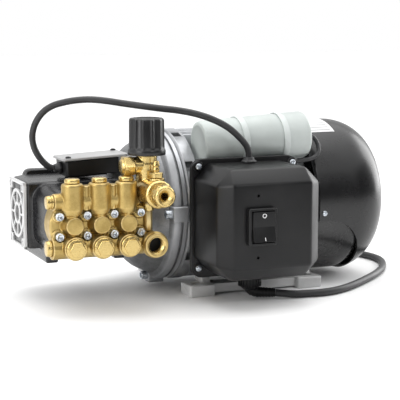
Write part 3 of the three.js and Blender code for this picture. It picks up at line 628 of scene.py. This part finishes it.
# ---- leads
# The routes repeat the part's own, in its machine coordinates in millimetres.
# SPLIT is how many points are tried between two given ones.
SPLIT = 16


def blend(first, last, t, start, end):
    """From first at start to last at end, at t."""
    return first * ((end - t) / (end - start)) + last * ((t - start) / (end - start))


def curve_points(points, step):
    """Points at even steps on a centripetal curve through the given ones."""
    chain = [2 * points[0] - points[1], *points, 2 * points[-1] - points[-2]]
    dense = []
    for i in range(1, len(chain) - 2):
        p0, p1, p2, p3 = chain[i - 1:i + 3]
        t0 = 0.0
        t1 = t0 + (p1 - p0).length ** 0.5
        t2 = t1 + (p2 - p1).length ** 0.5
        t3 = t2 + (p3 - p2).length ** 0.5
        for k in range(SPLIT):
            t = t1 + (t2 - t1) * k / SPLIT
            a1, a2 = blend(p0, p1, t, t0, t1), blend(p1, p2, t, t1, t2)
            a3 = blend(p2, p3, t, t2, t3)
            b1, b2 = blend(a1, a2, t, t0, t2), blend(a2, a3, t, t1, t3)
            dense.append(blend(b1, b2, t, t1, t2))
    dense.append(points[-1])
    total = sum((b - a).length for a, b in zip(dense, dense[1:]))
    count = max(int(round(total / step)), 2)
    even, walked, k = [dense[0]], 0.0, 0
    for n in range(1, count):
        target = total * n / count
        while walked + (dense[k + 1] - dense[k]).length < target:
            walked += (dense[k + 1] - dense[k]).length
            k += 1
        share = (target - walked) / (dense[k + 1] - dense[k]).length
        even.append(dense[k].lerp(dense[k + 1], share))
    even.append(dense[-1])
    return even, total


def tube(name, path, radius_at, sides=14):
    """A round tube along a path, with closed ends and no twist.

    radius_at gives its radius for a share of the way along, from 0 to 1.
    """
    work = bmesh.new()
    heading = (path[1] - path[0]).normalized()
    across = heading.orthogonal().normalized()
    rings = []
    angles = [2 * math.pi * k / sides for k in range(sides)]
    for i, point in enumerate(path):
        ahead = path[min(i + 1, len(path) - 1)] - path[max(i - 1, 0)]
        turn = heading.rotation_difference(ahead.normalized())
        heading = ahead.normalized()
        across = (turn @ across).normalized()
        up = heading.cross(across)
        radius = radius_at(i / (len(path) - 1))
        rings.append([
            work.verts.new(point + radius * (math.cos(a) * across + math.sin(a) * up)) for a in angles
        ])
    for low, high in zip(rings, rings[1:]):
        bridge(work, low, high)
    work.faces.new(list(reversed(rings[0])))
    work.faces.new(rings[-1])
    mesh = mesh_from(name, work)
    smooth(mesh, 60)
    return mesh


CONTROL_ROUTE = [
    (-127.9, -10, 136.2), (-131.8, -10, 137.6), (-136.5, -10, 141.6), (-142, -10, 148),
    (-147, -10.3, 157), (-149.6, -11.5, 166), (-149.8, -13, 175), (-147, -16, 186),
    (-140, -19, 196.5), (-131, -22.5, 203), (-121, -27, 206.5), (-109, -33, 209),
    (-95, -40, 210), (-82, -47, 209), (-66, -56, 206.5), (-49, -66, 204), (-31, -76, 201.5),
    (-14, -84, 199.5), (3, -91, 196), (20, -97, 190),
    (36, -101.5, 181), (50, -103, 168.5), (56.5, -103, 160), (58.4, -103, 154), (58.5, -103, 150.3),
]
POWER_RADIUS = 4
CONTROL_RADIUS = 3.5
FLOOR_LIE = 4.2
POWER_ROUTE = [(83.3, -117.3, 5.8), (92, -121, 5)] + [(x, y, FLOOR_LIE) for x, y in (
    (104, -125), (118, -127), (135, -128), (154, -123), (175, -111), (196, -95), (217, -77), (238, -57),
    (258, -34), (274, -9), (284, 19), (283, 48), (271, 76), (250, 96), (222, 105.5), (195, 106),
)]
COIL_CENTRE = (168, 158)
COIL_RADII = (52, 36)
COIL_LAYERS = (FLOOR_LIE, 12.4)
COIL_STEP = 15
PLUG_TAIL = (136.3, 106, 11.4)
LEAD_STEP = 4


def coil_points():
    """Two turns winding in on the floor, then two winding out on top of them."""
    outer, inner = COIL_RADII
    width = outer - inner
    low, high = COIL_LAYERS
    wound_in, lifted, half_out, end = 720, 780, 1080, 1440
    points = []
    for degrees in range(0, end + 1, COIL_STEP):
        if degrees <= wound_in:
            radius = outer - width * degrees / wound_in
        elif degrees <= lifted:
            radius = inner
        elif degrees <= half_out:
            radius = inner + width / 2 * (degrees - lifted) / (half_out - lifted)
        else:
            radius = outer - width / 2 * (end - degrees) / (end - half_out)
        lift = min(max((degrees - wound_in) / (lifted - wound_in), 0), 1)
        angle = math.radians(-90 - degrees)
        points.append((
            COIL_CENTRE[0] + radius * math.cos(angle), COIL_CENTRE[1] + radius * math.sin(angle),
            low + (high - low) * lift * lift * (3 - 2 * lift),
        ))
    return points


def make_power_cable():
    route = POWER_ROUTE + coil_points() + [(152, 106, 12), PLUG_TAIL]
    path, length = curve_points(to_frame(route), LEAD_STEP * MM)
    mesh = tube("mains_lead", path, lambda share: POWER_RADIUS * MM)
    piece = new_piece("mains_lead", mesh, "housing", LEAD_RUBBER)
    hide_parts("power_cable", "power_cable_coil")
    plug = edged("power_plug", 0.8, 3, SATIN_BLACK, "mains_plug")


def make_control_cable():
    path, length = curve_points(to_frame(CONTROL_ROUTE), LEAD_STEP * MM)
    mesh = tube("control_lead", path, lambda share: CONTROL_RADIUS * MM)
    piece = new_piece("control_lead", mesh, "housing", LEAD_RUBBER)
    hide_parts("control_cable")


make_power_cable()
make_control_cable()

# ---- motor


def make_motor():
    edged("motor_frame", 0.5, 2)
    edged("front_shield", 0.7, 2)
    make_bell()
    for side in ("front", "back"):
        edged(f"foot_rail_{side}", 0.7, 2)
    make_cowl()
    make_cowl_fittings()
    make_rear_casing()
    for node in ("stator", "motor_rotor", "cooling_fan"):
        edged(node, 0.3, 1)


def make_bell():
    """The flared casting between motor and pump, with four bolted lugs."""
    outer = [
        (18, -62), (38, -62), (39.5, -60.5), (41, -57.5), (47, -53.5), (54, -49), (59, -45), (63, -41),
        (67, -36), (70, -30.5), (73, -25), (75, -20), (78, -18.5), (81.2, -16.5), (82, -14), (82, -9.5),
        (80, -8.8), (80, -7.2), (82, -6.5), (82, -2.8), (81.2, -2),
    ]
    inner = [(66, -2), (56, -38), (34, -54), (18, -56), (18, -62)]
    profile = [(radius * MM, at(x, 0, 0).x) for radius, x in outer + inner]
    shell = lathe_on_shaft("bell", profile, 144)
    lugs = []
    for quarter in range(4):
        pieces = [bar((-19.5, -8.2, 157), (-2, 8.2, 176.6), 1.2, 3),
                  bar((-14, -5, 150), (-4, 5, 172), 0.6)]
        turn = turned_about(SHAFT, quarter * math.pi / 2)
        for mesh in pieces:
            mesh.transform(turn)
        lugs += pieces
    stands_for(["bell_housing"], "bell_casting", merged("bell", shell, *lugs), CAST_ALUMINIUM, 40)
    screw = socket_screw_mesh(4.6, 6.5, 2.6)
    points = [round_shaft(at(-19.6, 0, 0).x, 79, quarter * math.pi / 2) for quarter in range(4)]
    repeated("bell_screws", screw, points, FACING_LEFT, "housing", ZINC)


def fillet_arc(start, end, radius_start, radius_end, steps):
    """Quarter of an ellipse from (radius_start, start) to (radius_end, end)."""
    angles = [math.pi / 2 * i / steps for i in range(steps + 1)]
    reach = radius_start - radius_end
    return [(radius_end + reach * math.cos(a), start + (end - start) * math.sin(a)) for a in angles]


def make_cowl():
    low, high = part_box("fan_cowl")
    radius, wall = COWL_RADIUS * MM, COWL_WALL * MM
    start, end = low.x, high.x
    bend = end - 47 * MM
    face = 50 * MM
    profile = [(radius - 0.6 * MM, start), (radius, start + 0.6 * MM)]
    profile += fillet_arc(bend, end, radius, face, 20) + [(0, end), (0, end - wall)]
    profile += list(reversed(fillet_arc(bend, end - wall, radius - wall, face - 1 * MM, 20)))
    profile += [(radius - wall, start), (radius - 0.6 * MM, start)]
    shell = lathe_on_shaft("cowl", profile, 128)
    mesh = drilled(shell, scallop_cutter(start), grille_cutter(end))
    smooth(mesh, 30)
    piece = new_piece("fan_cowl_shell", mesh, "housing", GLOSS_BLACK)
    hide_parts("fan_cowl")


def scallop_cutter(start):
    """The curved opening in the lower half of the cowl, cut straight through."""
    top, reach, middle_height = COWL_OPENING_TOP * MM, 46 * MM, 12 * MM
    begin = start + 15 * MM
    below_floor, depth = -0.005, 0.24
    outline = [(start - 5 * MM, below_floor), (start - 5 * MM, top), (begin, top)]
    for i in range(1, 25):
        angle = math.pi / 2 * i / 24
        height = middle_height + (top - middle_height) * math.cos(angle)
        outline.append((begin + reach * math.sin(angle), height))
    outline.append((begin + reach, below_floor))
    place = Matrix.Translation((0, SHAFT.y + depth / 2, 0)) @ Matrix.Rotation(math.pi / 2, 4, "X")
    return slab("scallop", outline, depth, place)


def curved_plate(name, x0, x1, from_angle, to_angle, radius, thick, steps=16):
    """A thin plate bent round the shaft. Angles run from the top towards the front."""
    work = bmesh.new()
    corners = [(x0, radius), (x1, radius), (x1, radius + thick), (x0, radius + thick)]
    rows = []
    for i in range(steps + 1):
        angle = math.radians(from_angle + (to_angle - from_angle) * i / steps)
        rows.append([work.verts.new(round_shaft(at(x, 0, 0).x, r, -angle)) for x, r in corners])
    for low, high in zip(rows, rows[1:]):
        bridge(work, low, high)
    work.faces.new(rows[0])
    work.faces.new(list(reversed(rows[-1])))
    bmesh.ops.recalc_face_normals(work, faces=work.faces)
    return mesh_from(name, work)


def make_cowl_fittings():
    """The blank rating plate on top and the screws that hold the cowl."""
    radius = 87.2
    added("rating_plate", "housing",
          curved_plate("plate", 151.5, 190, -6, 29, radius, 0.7, 24), PLATE_WHITE, 60)
    lines = [curved_plate("line", 156, 186, angle, angle + 0.9, radius + 0.3, 0.55, 2)
             for angle in range(-2, 28, 4)]
    added("rating_plate_lines", "housing", merged("lines", *lines), PLATE_GREY, 60)
    drop = math.asin(8.0 / 87.5)
    for side, name in ((-1, "front"), (1, "back")):
        screw = pan_screw_mesh(3.1, 1.9)
        across = side * math.cos(drop)
        spot = Vector((at(156.5, 0, 0).x, SHAFT.y + 87.0 * MM * across, SHAFT.z - 8 * MM))
        screw.transform(Matrix.Translation(spot) @ frame_along((0, across, -math.sin(drop))))
        added(f"cowl_screw_{name}", "housing", screw, ZINC, 40)


def grille_cutter(end):
    """Rings of curved slots in the end of the cowl, with six ribs left between them."""
    half_rib, slot_width, steps = 3, 4.5, 12
    work = bmesh.new()
    for inner in (12, 20, 28, 36):
        for sector in range(6):
            spread = math.pi / 6 - half_rib / inner
            angles = [sector * math.pi / 3 + spread * (2 * k / steps - 1) for k in range(steps + 1)]
            ring = [(inner, a) for a in angles] + [(inner + slot_width, a) for a in reversed(angles)]
            faces = [[work.verts.new(round_shaft(x, r, a)) for r, a in ring]
                     for x in (end - 6 * MM, end + 2 * MM)]
            work.faces.new(faces[0])
            work.faces.new(list(reversed(faces[1])))
            bridge(work, faces[0], faces[1])
    bmesh.ops.recalc_face_normals(work, faces=work.faces)
    return mesh_from("grille", work)


def make_rear_casing():
    low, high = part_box("rear_casing")
    radius, wall = CASING_RADIUS * MM, CASING_WALL * MM
    start, end = low.x, high.x
    corner = [(84, 30), (84, 18), (83.3, 14.5), (81, 9), (78.4, 5.6), (75, 3), (69.5, 1), (64, 0)]
    profile = [(9.6 * MM, end)] + [(r * MM, end - back * MM) for r, back in reversed(corner)]
    profile += [(radius, start), (radius - wall, start), (radius - wall, end - 18 * MM)]
    profile += [(radius - 22 * MM, end - wall), (9.6 * MM, end - wall), (9.6 * MM, end)]
    mesh = lathe_on_shaft("casing", profile, 128)
    smooth(mesh, 35)
    piece = new_piece("rear_casing_shell", mesh, "housing", BLACK_PAINT)
    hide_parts("rear_casing")


# ---- switch box


BOX_BACK, BOX_SHOULDER, BOX_FACE = -90.3, -155.0, -170.0
RIM_THICK = 3.0
SWITCH_CENTRE = (42.0, -174.0, 87.5)
ROCKER_TILT = -6.0
SOFT_CORNERS = ("BEVEL", {"width": 0.9 * MM, "segments": 3, "limit_method": "ANGLE"})


def box_cover_mesh():
    """The deep cover: a square with cut corners whose front leans in to a smaller face."""
    left, right, low, high, corner, lean = 0.0, 114.5, 30.0, 144.0, 16.0, 14
    face_left, face_right = left + 13.5, right - 15.3
    rim = [(left + corner, low), (right - corner, low), (right, low + corner), (right, high - corner),
           (right - corner, high), (left + corner, high), (left, high - corner), (left, low + corner)]
    face = [(face_left, low + lean), (face_right, low + lean), (face_right, high - lean),
            (face_left, high - lean)]
    work = bmesh.new()
    rings = [[work.verts.new(at(x, y, z)) for x, z in outline]
             for y, outline in ((BOX_BACK - 0.2, rim), (BOX_SHOULDER, rim), (BOX_FACE, face))]
    work.faces.new(rings[0])
    work.faces.new(list(reversed(rings[2])))
    for i in range(8):
        j = (i + 1) % 8
        work.faces.new((rings[0][i], rings[1][i], rings[1][j], rings[0][j]))
    for k in range(4):
        first, second = 2 * k, 2 * k + 1
        work.faces.new((rings[1][first], rings[2][k], rings[2][(k + 1) % 4], rings[1][second]))
        following = (second + 1) % 8
        work.faces.new((rings[1][second], rings[2][(k + 1) % 4], rings[1][following]))
    bmesh.ops.recalc_face_normals(work, faces=work.faces)
    bmesh.ops.bevel(
        work, geom=work.edges[:], offset=2.2 * MM, segments=4, profile=0.5, affect="EDGES",
        clamp_overlap=True,
    )
    return mesh_from("cover", work)


def box_rim_mesh():
    x0, x1, z0, z1 = -2.5, 119.5, 23.0, 148.6
    centre = at((x0 + x1) / 2, BOX_BACK - RIM_THICK, (z0 + z1) / 2)
    outline = rounded_outline((x1 - x0) * MM, (z1 - z0) * MM, 12 * MM, 8)
    place = Matrix.Translation(centre) @ Matrix.Rotation(-math.pi / 2, 4, "X")
    return slab("rim", outline, RIM_THICK * MM, place)


CROSS_TURN = 0.5


def pan_screw_mesh(radius, height):
    """A pan-head screw with a cross recess, its seat at the origin and its head along +Z."""
    profile = [(0, 0), (radius, 0), (radius, height * 0.35)]
    profile += [(radius * math.cos(a), height * (0.35 + 0.65 * math.sin(a)))
                for a in [math.pi / 2 * i / 6 for i in range(1, 6)]]
    profile += [(0, height)]
    head = lathe("screw", scaled(profile), (0, 0, 1), (0, 0, 0), 24)
    arms = []
    long, wide = 0.62 * radius * MM, 0.14 * radius * MM
    outline = [(-long, -wide), (long, -wide), (long, wide), (-long, wide)]
    for turn in (0, math.pi / 2):
        place = Matrix.Translation((0, 0, height * 0.4 * MM))
        place @= Matrix.Rotation(turn + CROSS_TURN, 4, "Z")
        arms.append(slab("arm", outline, height * MM, place))
    return drilled(head, *arms)


def socket_screw_mesh(radius, height, key):
    """A socket-head screw, its seat at the origin and its head along +Z."""
    rim = 0.5
    depth = height * 0.55
    profile = [
        (0, 0), (radius, 0), (radius, height - rim), (radius - rim, height), (key * 1.18, height),
        (key, height - 0.3), (key * 0.98, height - depth), (0, height - depth - key * 0.4),
    ]
    return lathe("socket_screw", scaled(profile), (0, 0, 1), (0, 0, 0), 24)


def make_switch_box():
    edged("terminal_box_base", 0.5, 2)
    x = SWITCH_CENTRE[0] - 2.5
    pinholes = [round_bar(1.5, (x, BOX_FACE - 1, z), (x, BOX_FACE + 4, z), 0, 16)
                for z in (55.3, 118.4)]
    cover = drilled(box_cover_mesh(), *pinholes)
    rim = baked(box_rim_mesh(), SOFT_CORNERS)
    corners = [(5.0, 33.5), (113.0, 33.5), (113.0, 141.0), (5.0, 141.0)]
    seat = BOX_BACK - RIM_THICK
    bosses = [round_bar(5.6, (x, BOX_BACK, z), (x, seat - 1.4, z), 0.6, 40) for x, z in corners]
    stands_for(["terminal_box_cover"], "box_cover", merged("cover", cover, rim, *bosses), SATIN_BLACK)
    places = [at(x, seat - 1.3, z) for x, z in corners]
    screw = pan_screw_mesh(3.4, 2.2)
    repeated("box_screws", screw, places, FACING_FRONT, "housing", ZINC)
    edged("switch_frame", 0.4, 2)
    make_rocker()
    make_power_gland()
    edged("control_grommet", 0.4, 2)


def make_power_gland():
    """The ribbed nut under the box and the tapered strain relief of the mains lead."""
    x, y = GLAND_PLACE
    profile = [(0, 0), (10, 0), (10, 1.6), (11.4, 1.6), (11.4, 13), (10.4, 16), (8.4, 18.6), (6.6, 20),
               (0, 20)]
    nut = lathe("nut", scaled(profile), (0, 0, -1), at(x, y, 29.7), 96)
    ribs = []
    for k in range(24):
        angle = 2 * math.pi * k / 24
        rib = bar((-0.9, -0.55, 13.5), (0.9, 0.55, 27.6), 0.3)
        rib.transform(Matrix.Translation(at(x, y, 0)) @ Matrix.Rotation(angle, 4, "Z")
                      @ Matrix.Translation((11.5 * MM, 0, 0)) @ Matrix.Translation(-at(0, 0, 0)))
        ribs.append(rib)
    route = [(x, y, 13), (x + 1, y - 0.5, 9.6), (x + 6, y - 2.5, 6.9), (x + 14, y - 6, 6.2),
             (x + 24.6, y - 10.7, 5.8)]
    path, _ = curve_points(to_frame(route), 0.5 * MM)

    def sleeve_radius(share):
        return (6.2 - 1.5 * share - 0.3 * (math.sin(60 * share) > 0.2)) * MM

    sleeve = tube("sleeve", path, sleeve_radius, 32)
    stands_for(["power_gland"], "mains_gland", merged("gland", nut, *ribs, sleeve), SATIN_BLACK, 40)


def make_rocker():
    half, width = 15.0, 12.0
    profile = [(-1, -half), (-7.3, -half), (-4.6, 0), (-7.3, half), (-1, half), (1.8, 0)]
    work = bmesh.new()
    sides = [[work.verts.new((x * MM, y * MM, z * MM)) for y, z in profile] for x in (-width, width)]
    work.faces.new(sides[0])
    work.faces.new(list(reversed(sides[1])))
    for i in range(len(profile)):
        j = (i + 1) % len(profile)
        work.faces.new((sides[0][i], sides[1][i], sides[1][j], sides[0][j]))
    bmesh.ops.recalc_face_normals(work, faces=work.faces)
    soften_edges(work, 0.5, 3)
    place = Matrix.Translation(at(*SWITCH_CENTRE)) @ Matrix.Rotation(math.radians(ROCKER_TILT), 4, "X")
    bmesh.ops.transform(work, matrix=place, verts=work.verts)
    stands_for(["switch_rocker"], "switch_rocker_key", mesh_from("rocker", work), SATIN_BLACK)
    slope = math.atan2(2.7, half)
    off_place, on_place = [
        place @ Matrix.Translation((0, y * MM, z * MM)) @ Matrix.Rotation(math.pi / 2 + lean, 4, "X")
        for y, z, lean in ((-6.6, 11.3, slope), (-6.78, -12.3, -slope))
    ]
    rim = scaled([(1.5, 0), (2.3, 0), (2.3, 0.3), (1.5, 0.3), (1.5, 0)])
    ring = lathe("off_mark", rim, (0, 0, 1), (0, 0, 0), 32)
    ring.transform(off_place)
    bar_outline = scaled([(-0.4, -1.7), (0.4, -1.7), (0.4, 1.7), (-0.4, 1.7)])
    stroke = slab("on_mark", bar_outline, 0.3 * MM, on_place)
    added("switch_marks", "rocker", merged("marks", ring, stroke), MARK_WHITE)


# ---- capacitor


def make_capacitor():
    edged("capacitor", 0.8, 3)
    edged("capacitor_bracket", 0.3, 2, PALE_STRAP)
    edged("capacitor_lead", 0.2, 1)


# ---- pump


def make_end_cover():
    """A dark plate that carries a bright frame, corner lugs and a ribbed disc."""
    x, y0, y1, z0, z1 = -163.3, -35.0, 23.0, 55.0, 125.0
    face, floor = x - 3.4, x - 1.6
    centre_y, centre_z = (y0 + y1) / 2, (z0 + z1) / 2
    plate = bar((x, y0 + 0.4, z0 + 0.4), (floor, y1 - 0.4, z1 - 0.4), 0.3)
    stands_for(["end_cover"], "end_cover_plate", plate, BLACK_PAINT)
    edge, inset = 3.2, 5.5
    sides = [(y0, z0, y0 + edge, z1), (y1 - edge, z0, y1, z1), (y0, z0, y1, z0 + edge),
             (y0, z1 - edge, y1, z1)]
    bars = [bar((x, a, b), (face, c, d), 0.4) for a, b, c, d in sides]
    corners = [(y, z) for y in (y0 + inset, y1 - inset) for z in (z0 + inset, z1 - inset)]
    for y, z in corners:
        bars.append(bar((x - 0.2, y - 5.2, z - 5.2), (face - 0.3, y + 5.2, z + 5.2), 0.8, 3))
    hub = at(x, centre_y, centre_z)
    rings = []
    for inner, outer, height in ((22.6, 26.0, 3.4), (8.5, 12.0, 3.0)):
        profile = [(inner, 0), (outer, 0), (outer, height - 0.3), (outer - 0.3, height),
                   (inner + 0.3, height), (inner, height - 0.3), (inner, 0)]
        rings.append(lathe("ring", scaled(profile), (-1, 0, 0), hub, 72))
    for k in range(8):
        rib = bar((x, centre_y - 1.1, centre_z + 11), (face + 0.4, centre_y + 1.1, centre_z + 24.5),
                  0.3)
        rib.transform(turned_about(hub, k * math.pi / 4))
        rings.append(rib)
    lattice = merged("lattice", *bars, *rings)
    added("end_cover_lattice", "housing", lattice, SILVER_PAINT)
    places = [at(face + 0.3, y, z) for y, z in corners]
    screw = socket_screw_mesh(3.4, 0.6, 1.9)
    repeated("end_cover_screws", screw, places, FACING_LEFT, "housing", ZINC)


def make_inlet_thread():
    """The pipe thread in the mouth of the inlet port, and behind it a near-black disc that is painted
    shade for the passage.
    """
    crests = [(9.25, 0.2)]
    for k in range(8):
        crests += [(7.9, 1.0 + 1.6 * k), (8.7, 1.8 + 1.6 * k)]
    crests += [(9.25, 14.2), (9.25, 0.2)]
    thread = lathe("thread", scaled(crests), (0, 1, 0), at(*INLET_MOUTH), 64)
    added("inlet_thread", "housing", thread, TURNED_BRASS)
    x, y, z = INLET_MOUTH
    # A near-black disc behind the thread paints the shade deep in the passage.
    passage = round_bar(9.0, (x, y + 14.6, z), (x, y + 16.4, z), 0, 48)
    added("inlet_passage", "housing", passage, PAINTED_SHADE_DARK)


def make_outlet_fitting():
    """The hose tail in the mouth of the unloader, with its hexagon."""
    x, mouth, z = OUTLET_MOUTH
    bore, spigot, barrel, length = 3.6, 4.6, 10.8, 16.7
    profile = [
        (bore, -5.7), (spigot, -5.7), (spigot, 0), (barrel - 0.5, 0), (barrel, 0.5),
        (barrel, length - 2), (barrel - 1.4, length - 0.2), (barrel - 1.9, length), (8.2, length),
        (7.8, length - 0.2),
        (bore + 0.5, length - 3.2), (bore, length - 4), (bore, -5.7),
    ]
    nozzle = lathe("nozzle", scaled(profile), (0, -1, 0), at(x, mouth, z), 96)
    corner, depth = 12.3, 12.5
    sixths = [k * math.pi / 3 for k in range(6)]
    outline = scaled([(corner * math.cos(a), corner * math.sin(a)) for a in sixths])
    place = Matrix.Translation(at(x, mouth - 0.05, z)) @ Matrix.Rotation(math.pi / 2, 4, "X")
    nut = baked(slab("nut", outline, depth * MM, place), SOFT_CORNERS)
    nut = drilled(nut, round_bar(barrel - 0.6, (x, mouth + 1, z), (x, mouth - depth - 1, z), 0, 64))
    stands_for(["outlet_fitting"], "outlet_hose_tail", merged("fitting", nozzle, nut), TURNED_BRASS, 40)


def make_head_screws():
    """The eight socket-head screws that hold the manifold."""
    places = []
    shanks = []
    for z in (101.0, 80.6):
        for x in (-152.5, -124.3, -96.0, -67.8):
            places.append(at(x, -116.3, z))
            end = -93.2 if x < -150 else -82.2
            shanks.append(round_bar(2.5, (x, -117, z), (x, end, z), 0.3, 16))
    screw = socket_screw_mesh(4.25, 4.8, 2.2)
    heads = repeated("head_screws", screw, places, FACING_FRONT, "housing", ZINC)
    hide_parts(*[f"head_bolt_{i}" for i in range(1, 9)])
    added("head_screw_shanks", "housing", merged("shanks", *shanks), ZINC)


def make_knob():
    """A knob with twelve shallow flutes that run out above a plain skirt."""
    low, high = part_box("regulator_knob")
    centre = (low + high) / 2
    skirt, grip = 19.2, 18.3
    flutes, per_flute, half_flute = 12, 16, 0.40
    deepest = 1.55
    # Height, radius and depth of the flutes, from the skirt up.
    heights = [
        (0, skirt - 0.5, 0), (0.6, skirt, 0), (4.2, skirt, 0), (5.0, skirt - 0.3, 0),
        (5.8, grip + 0.3, 0.0), (6.6, grip, 0.25), (7.6, grip, 0.7), (9.0, grip, 1.0),
        (34.4, grip - 0.3, 1.0), (35.6, grip - 0.6, 0.95), (36.4, grip - 1.3, 0.8),
        (36.9, grip - 2.3, 0.5), (36.9, grip - 4.5, 0.0), (36.3, grip - 5.0, 0.0),
    ]
    work = bmesh.new()
    rings = []
    count = flutes * per_flute
    for height, radius, depth in heights:
        ring = []
        for k in range(count):
            phase = (k / per_flute) % 1 - 0.5
            hollow = max(0.0, 1 - (phase / half_flute) ** 2) ** 0.6
            r = (radius - deepest * depth * hollow) * MM
            angle = 2 * math.pi * k / count
            x, y = centre.x + r * math.cos(angle), centre.y + r * math.sin(angle)
            ring.append(work.verts.new((x, y, low.z + height * MM)))
        rings.append(ring)
    for lower, upper in zip(rings, rings[1:]):
        bridge(work, lower, upper)
    top = work.verts.new((centre.x, centre.y, low.z + 36.3 * MM))
    base = work.verts.new((centre.x, centre.y, low.z))
    for k in range(count):
        j = (k + 1) % count
        work.faces.new((rings[-1][k], rings[-1][j], top))
        work.faces.new((rings[0][j], rings[0][k], base))
    stands_for(["regulator_knob"], "regulator_grip", mesh_from("knob", work), KNOB_BLACK, 50)


def manifold_bosses():
    """Truly round columns, caps and bosses that are cast into the manifold."""
    bosses = []
    for x in PLUNGER_X:
        column = [(0, 0), (9.4, 0), (11, 4), (11, 29), (9.5, 30.5), (0, 30.5)]
        bosses.append(lathe("column", scaled(column), (0, 0, 1), at(x, -118, 103), 72))
        cap = [(0, 0), (12, 0), (9.4, 9), (8.8, 15), (0, 15)]
        bosses.append(lathe("cap", scaled(cap), (0, -1, 0), at(x, -113, 91.5), 72))
        bosses.append(round_bar(11.8, (x, -131, 69.5), (x, -98, 69.5), 0.4, 72))
    x, y, z = INLET_MOUTH
    mouth = [(9.3, 0), (12.3, 0), (12.3, 4), (13.6, 4), (13.6, 9), (12.3, 9), (12.3, 16), (9.3, 16),
             (9.3, 0)]
    bosses.append(lathe("mouth", scaled(mouth), (0, 1, 0), at(x, y, z), 96))
    bosses.append(round_bar(8.5, (-158, -114, 115), (-74, -114, 115), 0.4, 72))
    return bosses


def make_pump():
    cast("crankcase", 1.4, 4)
    make_end_cover()
    edged("rear_cover", 0.8, 3)
    for node in ("crankshaft", *[f"{kind}_{i}" for kind in ("con_rod", "plunger") for i in (1, 2, 3)]):
        edged(node, 0.3, 1)
    cast("manifold", 0.7, 5, keep=0.4, bosses=manifold_bosses())
    for i in (1, 2, 3):
        edged(f"discharge_cap_{i}", 0.4, 2)
        edged(f"suction_cap_{i}", 0.4, 2)
    make_inlet_thread()
    make_head_screws()
    for port in ("outlet", "inlet"):
        edged(f"{port}_port_plug", 0.4, 2)
    cast("unloader_body", 0.5, 4, TURNED_BRASS, keep=0.5)
    make_outlet_fitting()
    edged("unloader_plug", 0.5, 2)
    edged("bypass_nipple", 0.3, 2)
    edged("bypass_pipe", 0.3, 2)
    make_knob()
    edged("regulator_spindle", 0.3, 1)
    edged("control_box", 0.6, 3)
    edged("control_box_lid", 0.5, 3, LID_GREY)
    places = [at(-115.5, -26.5, 148.0), at(-55.0, 6.5, 150.9)]
    repeated("control_lid_screws", pan_screw_mesh(3.0, 1.8), places, (0, 0, 0), "housing",
             SATIN_BLACK)
    edged("control_gland", 0.4, 2)


make_motor()
make_switch_box()
make_capacitor()
make_pump()

# ---- studio
FLOOR_TONE = 0.92
DIM_SIDE, BRIGHT_SIDE = 0.10, 0.80
LIGHT_TARGET = Vector((0.0, 0.0, 0.1))


def make_floor():
    work = bmesh.new()
    bmesh.ops.create_grid(work, x_segments=1, y_segments=1, size=6.0)
    floor = linked("floor", mesh_from("floor", work))
    material = bpy.data.materials.new("floor")
    material.use_nodes = True
    shader = material.node_tree.nodes["Principled BSDF"]
    shader.inputs["Base Color"].default_value = (*grey(FLOOR_TONE), 1)
    shader.inputs["Roughness"].default_value = 0.6
    floor.data.materials.append(material)


def make_room():
    """A pale room, dimmer towards -Y than behind the object, and plain white to the eye."""
    world = bpy.data.worlds.new("studio")
    bpy.context.scene.world = world
    world.use_nodes = True
    tree = world.node_tree
    background = tree.nodes["Background"]
    background.inputs["Color"].default_value = (1, 1, 1, 1)
    place = tree.nodes.new("ShaderNodeTexCoord")
    split = tree.nodes.new("ShaderNodeSeparateXYZ")
    tree.links.new(place.outputs["Generated"], split.inputs[0])
    light = spread_node(tree, split.outputs["Y"], -0.5, 0.4, DIM_SIDE, BRIGHT_SIDE)
    seen = tree.nodes.new("ShaderNodeLightPath").outputs["Is Camera Ray"]
    tree.links.new(math_node(tree, "MAXIMUM", light, seen), background.inputs["Strength"])


def add_area_light(name, place, width, height, power):
    data = bpy.data.lights.new(name, "AREA")
    data.shape = "RECTANGLE"
    data.size = width
    data.size_y = height
    data.energy = power
    light = linked(name, data)
    light.location = place
    light.rotation_euler = (LIGHT_TARGET - Vector(place)).to_track_quat("-Z", "Y").to_euler()


def add_soft_sun(strength, spread):
    """A sun so wide that it gives soft shadows; the spread is in degrees."""
    data = bpy.data.lights.new("sky", "SUN")
    data.energy = strength
    data.angle = math.radians(spread)
    linked("sky", data)


make_floor()
make_room()
add_soft_sun(2.1, 110)
add_area_light("overhead", (0.0, 0.1, 1.6), 1.6, 1.2, 10)
add_area_light("left", (-1.7, -0.7, 0.8), 0.9, 1.2, 16)
add_area_light("right", (1.9, 0.5, 0.7), 1.2, 1.4, 22)
add_area_light("front", (0.6, -2.0, 1.3), 0.8, 0.8, 5)
bpy.context.scene.view_settings.view_transform = "Standard"

bpy.context.view_layer.update()
